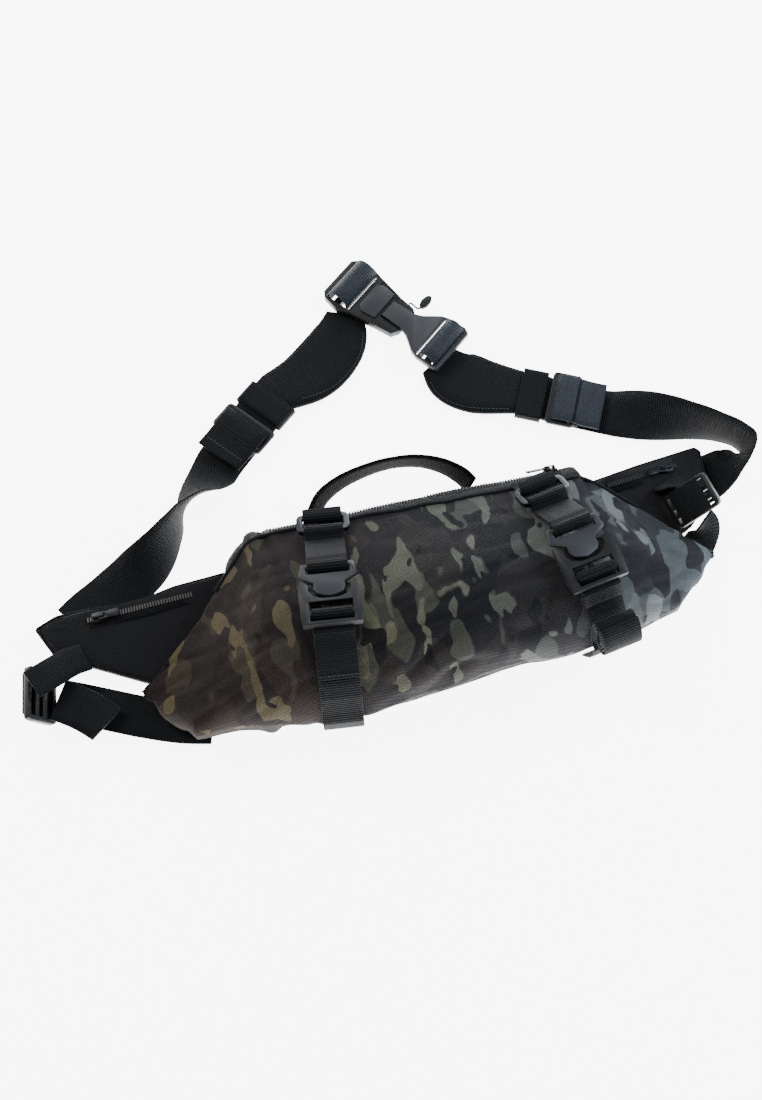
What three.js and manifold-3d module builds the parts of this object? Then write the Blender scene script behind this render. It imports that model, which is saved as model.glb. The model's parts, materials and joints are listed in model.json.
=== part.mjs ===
// Sling bag lying on its back. The back panel's outer face is Z = 0, +Z points out of the front,
// +X runs along the bag towards the wearer's left hip and +Y to the bag's top, where the strap is.
// The origin is the middle of the back panel's flat outer face. Millimetres.
import * as THREE from "three";
import { mergeVertices } from "three/addons/utils/BufferGeometryUtils.js";
import Module from "manifold-3d";

const wasm = await Module();
wasm.setup();

// Driving dimensions
const STRAP_WIDTH = 38; // shoulder strap webbing
const STRAP_THICK = 1.6;
const WEB_WIDTH = 28; // front compression webbing
const WEB_THICK = 1.4;
const SIDE_WEB_WIDTH = 30; // side compression webbing
const GAP = 0.3; // between touching pieces
const WALL = 1.8; // fabric with its lining
const BACK_THICK = 3; // spacer mesh with its skin
const FOAM_THICK = 6;
const BELT_TOP = BACK_THICK + GAP + FOAM_THICK; // top of the padded back
const EAR_FLOOR = 17.6; // the ears lie on the wings
const FRONT_HIGH = 80.5; // the fullest part of the front
const SEAM_TOP_Z = 41; // where the front meets the main zip
const LEDGE = 10; // the zip's own strip, which turns over the top edge
const LEDGE_Z = 27;
const ZIP_LEFT = [-116, 53];
const ZIP_RIGHT = [133, 46.5];
const EAR_LEFT = [-212, -35];
const EAR_LEFT_BEND = [-160, 6];
const EAR_RIGHT = [215, -36];

const group = new THREE.Group();
const v3 = (x, y, z) => new THREE.Vector3(x, y, z);
const UP = v3(0, 0, 1);
const lerp = THREE.MathUtils.lerp;
const step01 = THREE.MathUtils.smoothstep;
const degrees = THREE.MathUtils.degToRad;

// Materials
const finishes = {
  camo: { color: 0x34332f, roughness: 0.92, metalness: 0 },
  nylon: { color: 0x141416, roughness: 0.85, metalness: 0 },
  mesh: { color: 0x1b1b1d, roughness: 0.95, metalness: 0 },
  lining: { color: 0x77756c, roughness: 0.8, metalness: 0 },
  webbing: { color: 0x16171a, roughness: 0.8, metalness: 0 },
  plastic: { color: 0x3d3e3f, roughness: 0.45, metalness: 0 },
  alloy: { color: 0x4b4d50, roughness: 0.35, metalness: 0.9 },
};

function add(name, geometry, finish) {
  const mesh = new THREE.Mesh(geometry, new THREE.MeshStandardMaterial(finishes[finish]));
  mesh.name = name;
  group.add(mesh);
  return mesh;
}

// ---- solids ----

// Turns a list of points and a list of triangles into a geometry whose faces point out.
function closed(points, triangles) {
  let volume = 0;
  for (let i = 0; i < triangles.length; i += 3) {
    const [a, b, c] = [0, 1, 2].map((k) => points[triangles[i + k]]);
    volume += a.dot(b.clone().cross(c));
  }
  const index = [...triangles];
  if (volume < 0) index.reverse();
  const geometry = new THREE.BufferGeometry().setFromPoints(points);
  geometry.setIndex(index);
  return geometry;
}

// A solid through rings of points with the same number of corners each, closed at both ends.
function loft(rings) {
  const corners = rings[0].length;
  const points = rings.flat();
  const triangles = [];
  for (let r = 0; r + 1 < rings.length; r++) {
    for (let c = 0; c < corners; c++) {
      const a = r * corners + c;
      const b = r * corners + ((c + 1) % corners);
      triangles.push(a, b, b + corners, a, b + corners, a + corners);
    }
  }
  for (const end of [0, rings.length - 1]) {
    const middle = v3(0, 0, 0);
    rings[end].forEach((p) => middle.addScaledVector(p, 1 / corners));
    points.push(middle);
    for (let c = 0; c < corners; c++) {
      const pair = [end * corners + c, end * corners + ((c + 1) % corners)];
      if (end === 0) pair.reverse();
      triangles.push(pair[0], pair[1], points.length - 1);
    }
  }
  return closed(points, triangles);
}

// Manifold solid of a geometry, and back.
function solid(geometry) {
  const bare = geometry.clone();
  bare.deleteAttribute("normal");
  bare.deleteAttribute("uv");
  const merged = mergeVertices(bare, 1e-4);
  return new wasm.Manifold(
    new wasm.Mesh({
      numProp: 3,
      vertProperties: new Float32Array(merged.attributes.position.array),
      triVerts: new Uint32Array(merged.index.array),
    }),
  );
}

function geometryOf(body) {
  const mesh = body.getMesh();
  const geometry = new THREE.BufferGeometry();
  geometry.setAttribute("position", new THREE.BufferAttribute(mesh.vertProperties, 3));
  geometry.setIndex(new THREE.BufferAttribute(mesh.triVerts, 1));
  return geometry;
}

// A flat outline pushed up along Z, with optional holes.
function plate(outline, thickness, holes = [], z = 0) {
  const shape = new THREE.Shape(outline.map(([x, y]) => new THREE.Vector2(x, y)));
  for (const hole of holes) {
    shape.holes.push(new THREE.Path(hole.map(([x, y]) => new THREE.Vector2(x, y))));
  }
  const geometry = new THREE.ExtrudeGeometry(shape, { depth: thickness, bevelEnabled: false });
  return geometry.translate(0, 0, z);
}

// Corners of a rectangle with round corners.
function roundedRectangle(width, height, radius, parts = 2) {
  const outline = [];
  const centres = [
    [width / 2 - radius, height / 2 - radius],
    [radius - width / 2, height / 2 - radius],
    [radius - width / 2, radius - height / 2],
    [width / 2 - radius, radius - height / 2],
  ];
  centres.forEach(([cx, cy], quarter) => {
    for (let i = 0; i <= parts; i++) {
      const angle = (Math.PI / 2) * (quarter + i / parts);
      outline.push([cx + radius * Math.cos(angle), cy + radius * Math.sin(angle)]);
    }
  });
  return outline;
}

const rectangle = (x0, y0, x1, y1) => [[x0, y0], [x1, y0], [x1, y1], [x0, y1]];

// Places a piece drawn flat: its x goes along `across`, its y along `along`, its z out of the face.
function settle(geometry, centre, along, across) {
  const y = along.clone().normalize();
  const x = across.clone().addScaledVector(y, -across.dot(y)).normalize();
  const z = x.clone().cross(y);
  const matrix = new THREE.Matrix4().makeBasis(x, y, z).setPosition(centre);
  return geometry.applyMatrix4(matrix);
}

// ---- webbing ----

// Webbing along a smooth path. A stop is [x, y, z, roll, heading]: roll turns the flat face about the
// path, and heading, where it is given, is the way the right-hand edge points in plan.
function strap(stops, width, thickness, steps) {
  const path = new THREE.CatmullRomCurve3(
    stops.map(([x, y, z]) => v3(x, y, z)), false, "centripetal",
  );
  const edges = stops.map(([, , , roll = 0, heading], i) => {
    const before = stops[Math.max(i - 1, 0)];
    const after = stops[Math.min(i + 1, stops.length - 1)];
    const flat = heading === undefined
      ? v3(after[1] - before[1], before[0] - after[0], 0).normalize()
      : v3(Math.cos(degrees(heading)), Math.sin(degrees(heading)), 0);
    return flat.multiplyScalar(Math.cos(degrees(roll))).addScaledVector(UP, Math.sin(degrees(roll)));
  });
  const rings = [];
  for (let i = 0; i <= steps; i++) {
    const t = i / steps;
    const place = t * (stops.length - 1);
    const before = Math.min(Math.floor(place), stops.length - 2);
    const centre = path.getPoint(t);
    const tangent = path.getTangent(t);
    const side = edges[before].clone().lerp(edges[before + 1], place - before);
    side.addScaledVector(tangent, -side.dot(tangent)).normalize();
    const face = side.clone().cross(tangent).normalize();
    rings.push([[-1, -1], [1, -1], [1, 1], [-1, 1]].map(([s, f]) =>
      centre.clone().addScaledVector(side, (s * width) / 2).addScaledVector(face, (f * thickness) / 2),
    ));
  }
  return loft(rings);
}

// Outline of webbing seen edge-on: a path of [s, z] points given half a thickness on each side.
function edgeOn(path, thickness) {
  const sides = [[], []];
  path.forEach((point, i) => {
    const before = path[Math.max(i - 1, 0)];
    const after = path[Math.min(i + 1, path.length - 1)];
    const length = Math.hypot(after[0] - before[0], after[1] - before[1]);
    const across = [-(after[1] - before[1]) / length, (after[0] - before[0]) / length];
    [1, -1].forEach((sign, k) => {
      sides[k].push([
        point[0] + (sign * across[0] * thickness) / 2,
        point[1] + (sign * across[1] * thickness) / 2,
      ]);
    });
  });
  return [...sides[0], ...sides[1].reverse()];
}

// Part of a circle as [s, z] points, angles in degrees.
function arc(cx, cy, radius, from, to, parts) {
  const points = [];
  for (let i = 0; i <= parts; i++) {
    const angle = degrees(lerp(from, to, i / parts));
    points.push([cx + radius * Math.cos(angle), cy + radius * Math.sin(angle)]);
  }
  return points;
}

// ---- the bag's outer surface ----

// Height of a line of straight stretches at x.
function along(corners, x) {
  let k = 1;
  while (k < corners.length - 1 && corners[k][0] < x) k++;
  const [a, b] = [corners[k - 1], corners[k]];
  return lerp(a[1], b[1], (x - a[0]) / (b[0] - a[0]));
}

// The fold from the zip's ends to the ear tips, as the plan's upper edge.
const upperEdge = (x) => along([EAR_LEFT, EAR_LEFT_BEND, ZIP_LEFT, ZIP_RIGHT, EAR_RIGHT], x);

// The bag's lower edge sags between the ears, and the ears end in short straight folds.
const LOWER_EDGE = [
  EAR_LEFT, [-198, -61], [-181, -77], [-150, -79.5], [-122, -84], [-92, -93], [-60, -95], [-28, -92],
  [10, -90], [50, -86.5], [90, -87], [118, -86], [146, -78], [175, -71], [196, -54], EAR_RIGHT,
];
const lowerEdge = (x) => along(LOWER_EDGE, x);

// The back panel's upper edge runs a little behind the zip's strip.
const rim = (x) => zipLine(x) + 16.5;
const zipLine = (x) => lerp(ZIP_LEFT[1], ZIP_RIGHT[1], (x - ZIP_LEFT[0]) / (ZIP_RIGHT[0] - ZIP_LEFT[0]));

// How far x lies out into an ear: 0 over the body, 1 at the tip.
const intoEar = (x) => Math.min(1, Math.max(0, (Math.abs(x - 1.5) - 85) / 128));
const overBody = (x) => step01(x, -130, -113) * (1 - step01(x, 128, 143));
const floorAt = (x) => lerp(EAR_FLOOR, BELT_TOP + GAP, step01(x, -138, -126) * (1 - step01(x, 130, 142)));

// The front's profile over the body, from the lower edge (0) to the upper edge (1).
const FRONT_PROFILE = new THREE.SplineCurve(
  [[0, 38], [0.03, 53], [0.1, 67], [0.22, 77.5], [0.36, FRONT_HIGH], [0.52, 76], [0.7, 65], [0.86, 53], [1, SEAM_TOP_Z]]
    .map(([t, z]) => new THREE.Vector2(t, z)),
);
const FRONT_POINTS = FRONT_PROFILE.getPoints(14);

function frontHeight(x, t) {
  const out = intoEar(x);
  const low = lerp(38, EAR_FLOOR + 3, out ** 1.4);
  const high = lerp(SEAM_TOP_Z, EAR_FLOOR + 4, out ** 1.2);
  let k = 1;
  while (k < FRONT_POINTS.length - 1 && FRONT_POINTS[k].x < t) k++;
  const [a, b] = [FRONT_POINTS[k - 1], FRONT_POINTS[k]];
  const middle = lerp(a.y, b.y, (t - a.x) / (b.x - a.x));
  const bulge = middle - lerp(38, SEAM_TOP_Z, t);
  return lerp(low, high, t) + bulge * (1 - out ** 1.5);
}

// Height of the front over a plan point.
function frontAt(x, y) {
  const low = lowerEdge(x);
  return frontHeight(x, THREE.MathUtils.clamp((y - low) / (upperEdge(x) - low), 0, 1));
}

// One slice of the bag across its length, pulled in by `inset`, as [y, z] corners.
function slice(x, inset, floor) {
  const low = lowerEdge(x);
  const high = upperEdge(x);
  const body = overBody(x);
  const under = Math.min(9, (high - low) * 0.15) * body;
  const corners = [[low + under, floor], [low + under * 0.3, lerp(floor, frontHeight(x, 0), 0.5)]];
  FRONT_POINTS.forEach((p) => corners.push([lerp(low, high, p.x), frontHeight(x, p.x)]));
  const ledgeZ = lerp(frontHeight(x, 1) - 2, LEDGE_Z, body);
  corners.push([high + lerp(0.6, LEDGE, body), ledgeZ]);
  const rimY = Math.max(lerp(high + 0.8, rim(x), body), high + 0.8);
  corners.push([lerp(high + 0.7, rimY, 0.5 + 0.3 * body), lerp(ledgeZ, floor, 0.55)]);
  corners.push([rimY, floor]);
  if (!inset) return corners;
  return corners.map((corner, i) => {
    const before = corners[(i + corners.length - 1) % corners.length];
    const after = corners[(i + 1) % corners.length];
    const [dy, dz] = [after[0] - before[0], after[1] - before[1]];
    const length = Math.hypot(dy, dz);
    const openBack = i === 0 || i === corners.length - 1;
    const y = corner[0] + (inset * dz) / length;
    return [y, openBack ? floor - 12 : corner[1] - (inset * dy) / length];
  });
}

function bagSolid(inset, from, to, stations) {
  const rings = [];
  for (let i = 0; i <= stations; i++) {
    const x = lerp(from, to, 0.5 - Math.cos((Math.PI * i) / stations) / 2);
    rings.push(slice(x, inset, floorAt(x)).map(([y, z]) => v3(x, y, z)));
  }
  return solid(loft(rings));
}

const largest = (body) => body.decompose().reduce((best, b) => (b.volume() > best.volume() ? b : best));
const shell = bagSolid(0, -211, 214, 26).subtract(bagSolid(WALL, -201, 204, 26));

// The seams beside the straps and the zip's strip cut the shell into panels.
const SEAM_LEFT = [[-104, 56], [-76, -130]];
const SEAM_RIGHT = [[139, 56], [114, -130]];
const BELLY_Z = 25; // the black bottom strip ends here
const TALL = [-20, 140];
const prism = (outline, low = TALL[0], high = TALL[1]) => solid(plate(outline, high - low, [], low));
const shifted = ([x, y], dx, dy = 0) => [x + dx, y + dy];
const zipPoint = (x, offset) => [x, zipLine(x) + offset];
const seamX = ([top, bottom], y) => lerp(top[0], bottom[0], (y - top[1]) / (bottom[1] - top[1]));
const LEFT_TOP = zipPoint(seamX(SEAM_LEFT, 56), 0);
const RIGHT_TOP = zipPoint(seamX(SEAM_RIGHT, 51), 0);
const ZIP_X = [-111, 127]; // the zip's strip ends here

const middle = [
  shifted(SEAM_LEFT[1], GAP / 2), shifted(SEAM_RIGHT[1], -GAP / 2),
  shifted(RIGHT_TOP, -GAP / 2), shifted(LEFT_TOP, GAP / 2),
];
add("front_panel", geometryOf(shell.intersect(prism(middle, BELLY_Z))), "camo");
add("bottom_panel", geometryOf(largest(shell.intersect(prism(middle, TALL[0], BELLY_Z - GAP)))), "nylon");
add("left_side_panel", geometryOf(shell.intersect(prism([
  [-260, -130], shifted(SEAM_LEFT[1], -GAP / 2), shifted(LEFT_TOP, -GAP / 2), zipPoint(-260, 0),
]))), "camo");
add("right_side_panel", geometryOf(shell.intersect(prism([
  shifted(SEAM_RIGHT[1], GAP / 2), [260, -130], zipPoint(260, 0), shifted(RIGHT_TOP, GAP / 2),
]))), "camo");
add("main_zip", geometryOf(shell.intersect(prism([
  zipPoint(ZIP_X[0], GAP), zipPoint(ZIP_X[1], GAP), zipPoint(ZIP_X[1], LEDGE - 1), zipPoint(ZIP_X[0], LEDGE - 1),
], 20))), "nylon");
add("top_panel", geometryOf(largest(shell.intersect(prism([
  zipPoint(-260, GAP), zipPoint(ZIP_X[0] - GAP, GAP), zipPoint(ZIP_X[0] - GAP, LEDGE - 1 + GAP),
  zipPoint(ZIP_X[1] + GAP, LEDGE - 1 + GAP), zipPoint(ZIP_X[1] + GAP, GAP), zipPoint(260, GAP),
  [260, 130], [-260, 130],
])))), "nylon");

// ---- the padded back and its wings ----

const WING_JOIN = [-138, 142];

function backOutline(inset) {
  const outline = [];
  for (let i = 0; i <= 12; i++) {
    const x = lerp(WING_JOIN[0] + inset, WING_JOIN[1] - inset, i / 12);
    outline.push([x, lowerEdge(x) + 9 + inset + 24 * Math.abs((x - 2) / 140) ** 3]);
  }
  for (let i = 12; i >= 0; i--) {
    const x = lerp(WING_JOIN[0] + inset, WING_JOIN[1] - inset, i / 12);
    const corner = Math.max(0, Math.abs(x - 2) - 112) / 28;
    outline.push([x, rim(x) + 1 - inset - 22 * corner * corner]);
  }
  return outline;
}

add("back_panel", plate(backOutline(0), BACK_THICK), "mesh");
add("back_foam", plate(backOutline(1.5), FOAM_THICK - GAP, [], BACK_THICK + GAP), "lining");

// The flat pocket on the back wall, inside the compartment.
add("inner_pocket", plate(rectangle(-88, -62, 104, 34), 1.2, [], BELT_TOP + GAP), "lining");

// Wings: a padded core under the front fabric of its pocket, which its own zip closes.
function cushion(outline, low, high, crown) {
  const middle = outline.reduce(([a, b], [x, y]) => [a + x / outline.length, b + y / outline.length], [0, 0]);
  const ring = (z, size) => outline.map(([x, y]) => v3(
    middle[0] + (x - middle[0]) * size, middle[1] + (y - middle[1]) * size, z,
  ));
  return loft([ring(low, 0.95), ring(lerp(low, high, 0.35), 1), ring(high - crown, 1), ring(high, 0.93)]);
}

const LEFT_WING = [
  [-138.3, 43], [-139, -54], [-176, -43], [-205, -26], [-246, -2], [-269, 11], [-279.5, 34.4],
  [-263.7, 40.2], [-247.8, 40.4], [-204.8, 36.7], [-175.3, 41.7],
];
const RIGHT_WING = [
  [142.3, 45], [186, 50], [233, 53.5], [236, 50], [230.5, 12], [208, -8], [180, -18], [150, -40], [142.3, -50],
];
const WING_CORE = [2.6, 8.5];
const WING_SKIN = [WING_CORE[1] + GAP, 16.4];
add("left_wing", cushion(LEFT_WING, ...WING_CORE, 1), "nylon");
add("right_wing", cushion(RIGHT_WING, ...WING_CORE, 1), "nylon");

// A pocket's zip runs just inside the wing's upper edge: its slot is cut from the pocket's fabric.
function wingPocket(name, outline, from, to) {
  const along = v3(to[0] - from[0], to[1] - from[1], 0);
  const middle = v3((from[0] + to[0]) / 2, (from[1] + to[1]) / 2, 0);
  const across = v3(along.y, -along.x, 0);
  const strip = (width, low, high, spare) => settle(
    plate(rectangle(-width / 2, -along.length() / 2 - spare, width / 2, along.length() / 2 + spare),
      high - low, [], low),
    middle, along, across,
  );
  const low = WING_SKIN[1] - 2.6;
  const pocket = solid(cushion(outline, ...WING_SKIN, 3)).subtract(solid(strip(6, low, 30, 1)));
  add(name + "_wing_pocket", geometryOf(pocket), "nylon");
  add(name + "_wing_zip", strip(6 - 2 * GAP, low + GAP, low + 2, 0), "nylon");
  return low + 2;
}

const LEFT_WING_ZIP = [[-240, 30], [-164, 31]];
const RIGHT_WING_ZIP = [[212, 41], [158, 38]];
const wingZipTop = wingPocket("left", LEFT_WING, ...LEFT_WING_ZIP);
wingPocket("right", RIGHT_WING, ...RIGHT_WING_ZIP);

// ---- zip sliders and their pulls ----

// A slider is a small wedge with a bridge that the pull's ring passes through.
const PULL_LIFT = 2.57; // the pull's underside at rest, above the slider's
function slider() {
  const body = solid(plate([[-2.6, -5], [2.6, -5], [4, 1], [3.4, 5], [-3.4, 5], [-4, 1]], 2.2));
  const bridge = solid(plate(rectangle(-1.1, -4, 1.1, 4), 4.6))
    .subtract(solid(plate(rectangle(-3, -1.8, 3, 1.8), 1.75, [], 2.2)));
  return geometryOf(body.add(bridge));
}

// The pull's ring goes through the bridge, and its tab lies along the zip. It turns about the middle of
// the ring's end bar, which lies over the pull's origin.
function pull(length) {
  const eyeLength = 7;
  const ring = roundedRectangle(5.4, eyeLength, 1.2).map((p) => shifted(p, 0, eyeLength / 2 - 0.65));
  const hole = roundedRectangle(3, eyeLength - 2.6, 0.8).map((p) => shifted(p, 0, eyeLength / 2 - 0.65)).reverse();
  const tab = [[-2, 5.6], [2, 5.6], [2.8, 9], [2.8, length], [-2.8, length], [-2.8, 9]];
  return geometryOf(solid(plate(ring, 1, [hole])).add(solid(plate(tab, 1))));
}

const mainZipDirection = v3(ZIP_RIGHT[0] - ZIP_LEFT[0], ZIP_RIGHT[1] - ZIP_LEFT[1], 0).normalize();
const ledgeSlope = Math.atan2(SEAM_TOP_Z - LEDGE_Z, LEDGE);
const ledgeAcross = v3(0, -Math.cos(ledgeSlope), Math.sin(ledgeSlope));
const ledgeFace = v3(0, Math.sin(ledgeSlope), Math.cos(ledgeSlope));
const MAIN_SLIDER_X = 114;
const ledgeMiddle = v3(MAIN_SLIDER_X, zipLine(MAIN_SLIDER_X) + LEDGE / 2, (SEAM_TOP_Z + LEDGE_Z) / 2);
add("main_zip_slider", settle(
  slider(), ledgeMiddle.clone().addScaledVector(ledgeFace, 0.7), mainZipDirection, ledgeAcross,
), "alloy");
add("main_zip_pull", settle(
  pull(18), ledgeMiddle.clone().addScaledVector(ledgeFace, 0.7 + PULL_LIFT), mainZipDirection.clone().negate(),
  ledgeAcross.clone().negate(),
), "alloy");

function wingSlider(name, [end, start]) {
  const along = v3(start[0] - end[0], start[1] - end[1], 0).normalize();
  const across = v3(along.y, -along.x, 0);
  const place = v3(end[0], end[1], WING_SKIN[1] + GAP).addScaledVector(along, 8);
  add(name + "_wing_slider", settle(slider(), place, along.clone().negate(), across.clone().negate()), "alloy");
  add(name + "_wing_pull", settle(pull(15), place.clone().add(v3(0, 0, PULL_LIFT)), along, across), "alloy");
}
wingSlider("left", LEFT_WING_ZIP);
wingSlider("right", RIGHT_WING_ZIP);

// ---- grab handle ----

const HANDLE = [
  [-62, 72, 15, -64], [-55, 81, 17, -70], [-40, 90, 17, -78], [-16, 96, 17, -86],
  [6, 97, 17, -90], [26, 93, 17, -86], [43, 84, 16, -76], [54, 73.5, 14, -64],
];
add("grab_handle", strap(HANDLE, 17, 2.2, 22), "webbing");

// ---- front compression straps ----

const BAR = 3.4; // a bar's side, square in section
const EYE = 3.3; // radius of the webbing's eye round a bar
const RING_LENGTH = 20;
const NOSE = 26; // from the male bar to the clip's nose tip

// A front strap runs down the bag in one upright plane, s along it in plan from its ring's middle.
function frontStrap(side, start, aim, stops) {
  const down = v3(aim[0] - start[0], aim[1] - start[1], 0).normalize();
  const across = down.clone().cross(UP);
  const heightOver = (s, reach) => Math.max(...[-1, -0.5, 0, 0.5, 1].map((k) => frontAt(
    start[0] + down.x * s + across.x * reach * k, start[1] + down.y * s + across.y * reach * k,
  )));
  const at = (s, z) => v3(start[0] + down.x * s, start[1] + down.y * s, z);

  // A point held `lift` off the front, square to it.
  const over = (s, lift) => {
    const slope = (heightOver(s + 1.5, 14) - heightOver(s - 1.5, 14)) / 3;
    const length = Math.hypot(1, slope);
    return [s - (slope / length) * lift, heightOver(s, 14) + lift / length];
  };

  // Ends of a straight piece from s = a to s = b whose `below(part)` clears the front all along.
  const resting = (a, b, below) => {
    let lift = 0;
    for (let i = 0; i <= 12; i++) {
      const part = i / 12;
      const chord = lerp(heightOver(a, 21), heightOver(b, 21), part);
      lift = Math.max(lift, heightOver(lerp(a, b, part), 21) + below(part) - chord);
    }
    return [[a, heightOver(a, 21) + lift], [b, heightOver(b, 21) + lift]];
  };
  const band = (path, name, width = WEB_WIDTH) => {
    const matrix = new THREE.Matrix4().makeBasis(down, UP, across).setPosition(start[0], start[1], 0);
    add(name, plate(edgeOn(path, WEB_THICK), width, [], -width / 2).applyMatrix4(matrix), "webbing");
  };

  // Ring: two bars joined by round corners.
  const half = (RING_LENGTH - BAR) / 2;
  const ringEnds = resting(-half, half, () => 5.6);
  const ringAlong = at(...ringEnds[1]).sub(at(...ringEnds[0])).normalize();
  const flatness = Math.hypot(ringAlong.x, ringAlong.y);
  const ringZ = (ringEnds[0][1] + ringEnds[1][1]) / 2;
  const upperBar = [-half * flatness, ringZ - half * ringAlong.z];
  const lowerBar = [half * flatness, ringZ + half * ringAlong.z];
  const ring = plate(
    roundedRectangle(WEB_WIDTH + 10, RING_LENGTH, 5), BAR,
    [roundedRectangle(WEB_WIDTH + 2, RING_LENGTH - 2 * BAR, 2.4).reverse()], -BAR / 2,
  );
  add(side + "_strap_ring", settle(ring, at(0, ringZ), ringAlong, across), "alloy");

  // Anchor: from the zip's seam under the ring's upper bar, round it and back.
  const ringTurn = THREE.MathUtils.radToDeg(Math.asin(ringAlong.z));
  band([
    over(stops.seam, 2), over(lerp(stops.seam, upperBar[0] - 4, 0.5), 1.6),
    ...arc(upperBar[0], upperBar[1], EYE + 0.7, -112 + ringTurn, 78 + ringTurn, 9),
    [upperBar[0] - 5, upperBar[1] + 3],
  ], side + "_anchor_webbing");

  // Clip: the male plate drops into the female frame from above and slides out upwards.
  const [clipBar, clipEnd] = resting(stops.clip - 5, stops.clipEnd, (part) => (part > 0.6 ? 6.9 : 5.6));
  const clipAlong = at(...clipEnd).sub(at(...clipBar)).normalize();
  const clipLength = Math.hypot(clipEnd[0] - clipBar[0], clipEnd[1] - clipBar[1]);
  const onClip = (a, c) => {
    const [cos, sin] = [(clipEnd[0] - clipBar[0]) / clipLength, (clipEnd[1] - clipBar[1]) / clipLength];
    return [clipBar[0] + a * cos - c * sin, clipBar[1] + a * sin + c * cos];
  };

  // Upper webbing: doubled and sewn flat, with an eye at each end for the ring and the clip.
  const outer = EYE + WEB_THICK;
  const neck = 24;
  const first = [lowerBar[0] + outer + 2.4, lowerBar[1] - 0.4];
  const last = [clipBar[0] - outer - 2.4, clipBar[1] - 0.4];
  const spine = [first];
  for (let i = 1; i < 6; i++) {
    const s = lerp(first[0], last[0], i / 6);
    spine.push([s, Math.max(over(s, 2.9)[1], lerp(first[1], last[1], i / 6))]);
  }
  spine.push(last);
  const faces = edgeOn(spine, 2 * WEB_THICK + 0.4);
  const top = faces.slice(0, spine.length);
  const bottom = faces.slice(spine.length).reverse();
  const outline = [
    ...arc(lowerBar[0], lowerBar[1], outer, neck, 360 - neck, 12), ...bottom,
    ...arc(clipBar[0], clipBar[1], outer, 180 + neck, 540 - neck, 12), ...top.reverse(),
  ];
  const eyes = [lowerBar, clipBar].map(([s, z]) => arc(s, z, EYE, 360, 40, 8));
  const placed = new THREE.Matrix4().makeBasis(down, UP, across).setPosition(start[0], start[1], 0);
  add(side + "_upper_webbing", plate(outline, WEB_WIDTH, eyes, -WEB_WIDTH / 2).applyMatrix4(placed), "webbing");

  const maleOutline = [
    [-18, -BAR / 2], [18, -BAR / 2], [19.5, 4], [20.5, 8.5], [17, 11], [10.5, 15], [11, 19], [9, 23],
    [4, NOSE - 1], [0, NOSE], [-4, NOSE - 1], [-9, 23], [-11, 19], [-10.5, 15], [-17, 11], [-20.5, 8.5], [-19.5, 4],
  ];
  const slot = rectangle(-WEB_WIDTH / 2 - 0.8, BAR / 2, WEB_WIDTH / 2 + 0.8, 6.8).reverse();
  add(side + "_clip_male", settle(
    plate(maleOutline, BAR, [slot], -BAR / 2), at(...clipBar), clipAlong, across,
  ), "plastic");

  const frameEnd = clipLength;
  const frameOutline = [
    [-20, 12.5], [-14.4, 16.4], [-14.6, 21], [-12, 25.6], [-6, NOSE + 2], [6, NOSE + 2], [12, 25.6], [14.6, 21], [14.4, 16.4],
    [20, 12.5], [21.5, 23], [21, frameEnd - 12], [20, frameEnd], [-20, frameEnd], [-21, frameEnd - 12], [-21.5, 23],
  ];
  const middleBar = frameEnd - 9;
  const frameSlots = [
    rectangle(-WEB_WIDTH / 2 - 0.8, NOSE + 4.4, WEB_WIDTH / 2 + 0.8, middleBar - 1.6),
    rectangle(-WEB_WIDTH / 2 - 0.8, middleBar + 1.6, WEB_WIDTH / 2 + 0.8, frameEnd - 2.6),
  ];
  const frame = solid(plate(frameOutline, 5, frameSlots.map((hole) => [...hole].reverse()), -2.6))
    .add(solid(plate(rectangle(-15, 14.5, 15, NOSE + 3.4), 0.9, [], -2.95)));
  add(side + "_clip_female", settle(geometryOf(frame), at(...clipBar), clipAlong, across), "plastic");

  // Lower webbing: from the bottom seam up the belly, under the frame, over its middle bar, and back
  // out under the frame's end as the tail.
  const endS = onClip(frameEnd, 0)[0];
  const edge = (start[1] - lowerEdge(start[0] + down.x * 125)) / -down.y;
  const belly = [[edge - 5, 12], [edge - 2.2, 18], [edge + 1.6, 27], [edge + 3.6, 37], [edge + 3, 47]];
  const path = [...belly];
  const steps = 6;
  for (let i = 0; i <= steps; i++) path.push(over(lerp(edge - 3.5, endS + 7, i / steps), 1.7));
  const turn = (a, c, radius, from, to, parts) => arc(a, c, radius, from, to, parts).map((p) => onClip(...p));
  path.push(
    onClip(frameEnd - 3, -5.6), ...turn(middleBar - 1.6, -3.5, 1.9, 270, 180, 3),
    ...turn(middleBar, 0.5, 3.5, 180, 0, 6), ...turn(middleBar + 5.4, -1.7, 1.9, 180, 270, 3),
    onClip(frameEnd + 2.5, -3.6),
  );
  for (const s of stops.tail) path.push(over(endS + s, 3.9));
  band(path, side + "_lower_webbing");
  return { band, over, endS, edge };
}

frontStrap("left", [-60, 47], [-72.5, -42], { seam: -13.5, clip: 48, clipEnd: 90, tail: [8, 16, 24, 31] });
const rightFront = frontStrap("right", [97, 28], [109, -57], { seam: -19, clip: 45, clipEnd: 87, tail: [6] });

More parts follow.
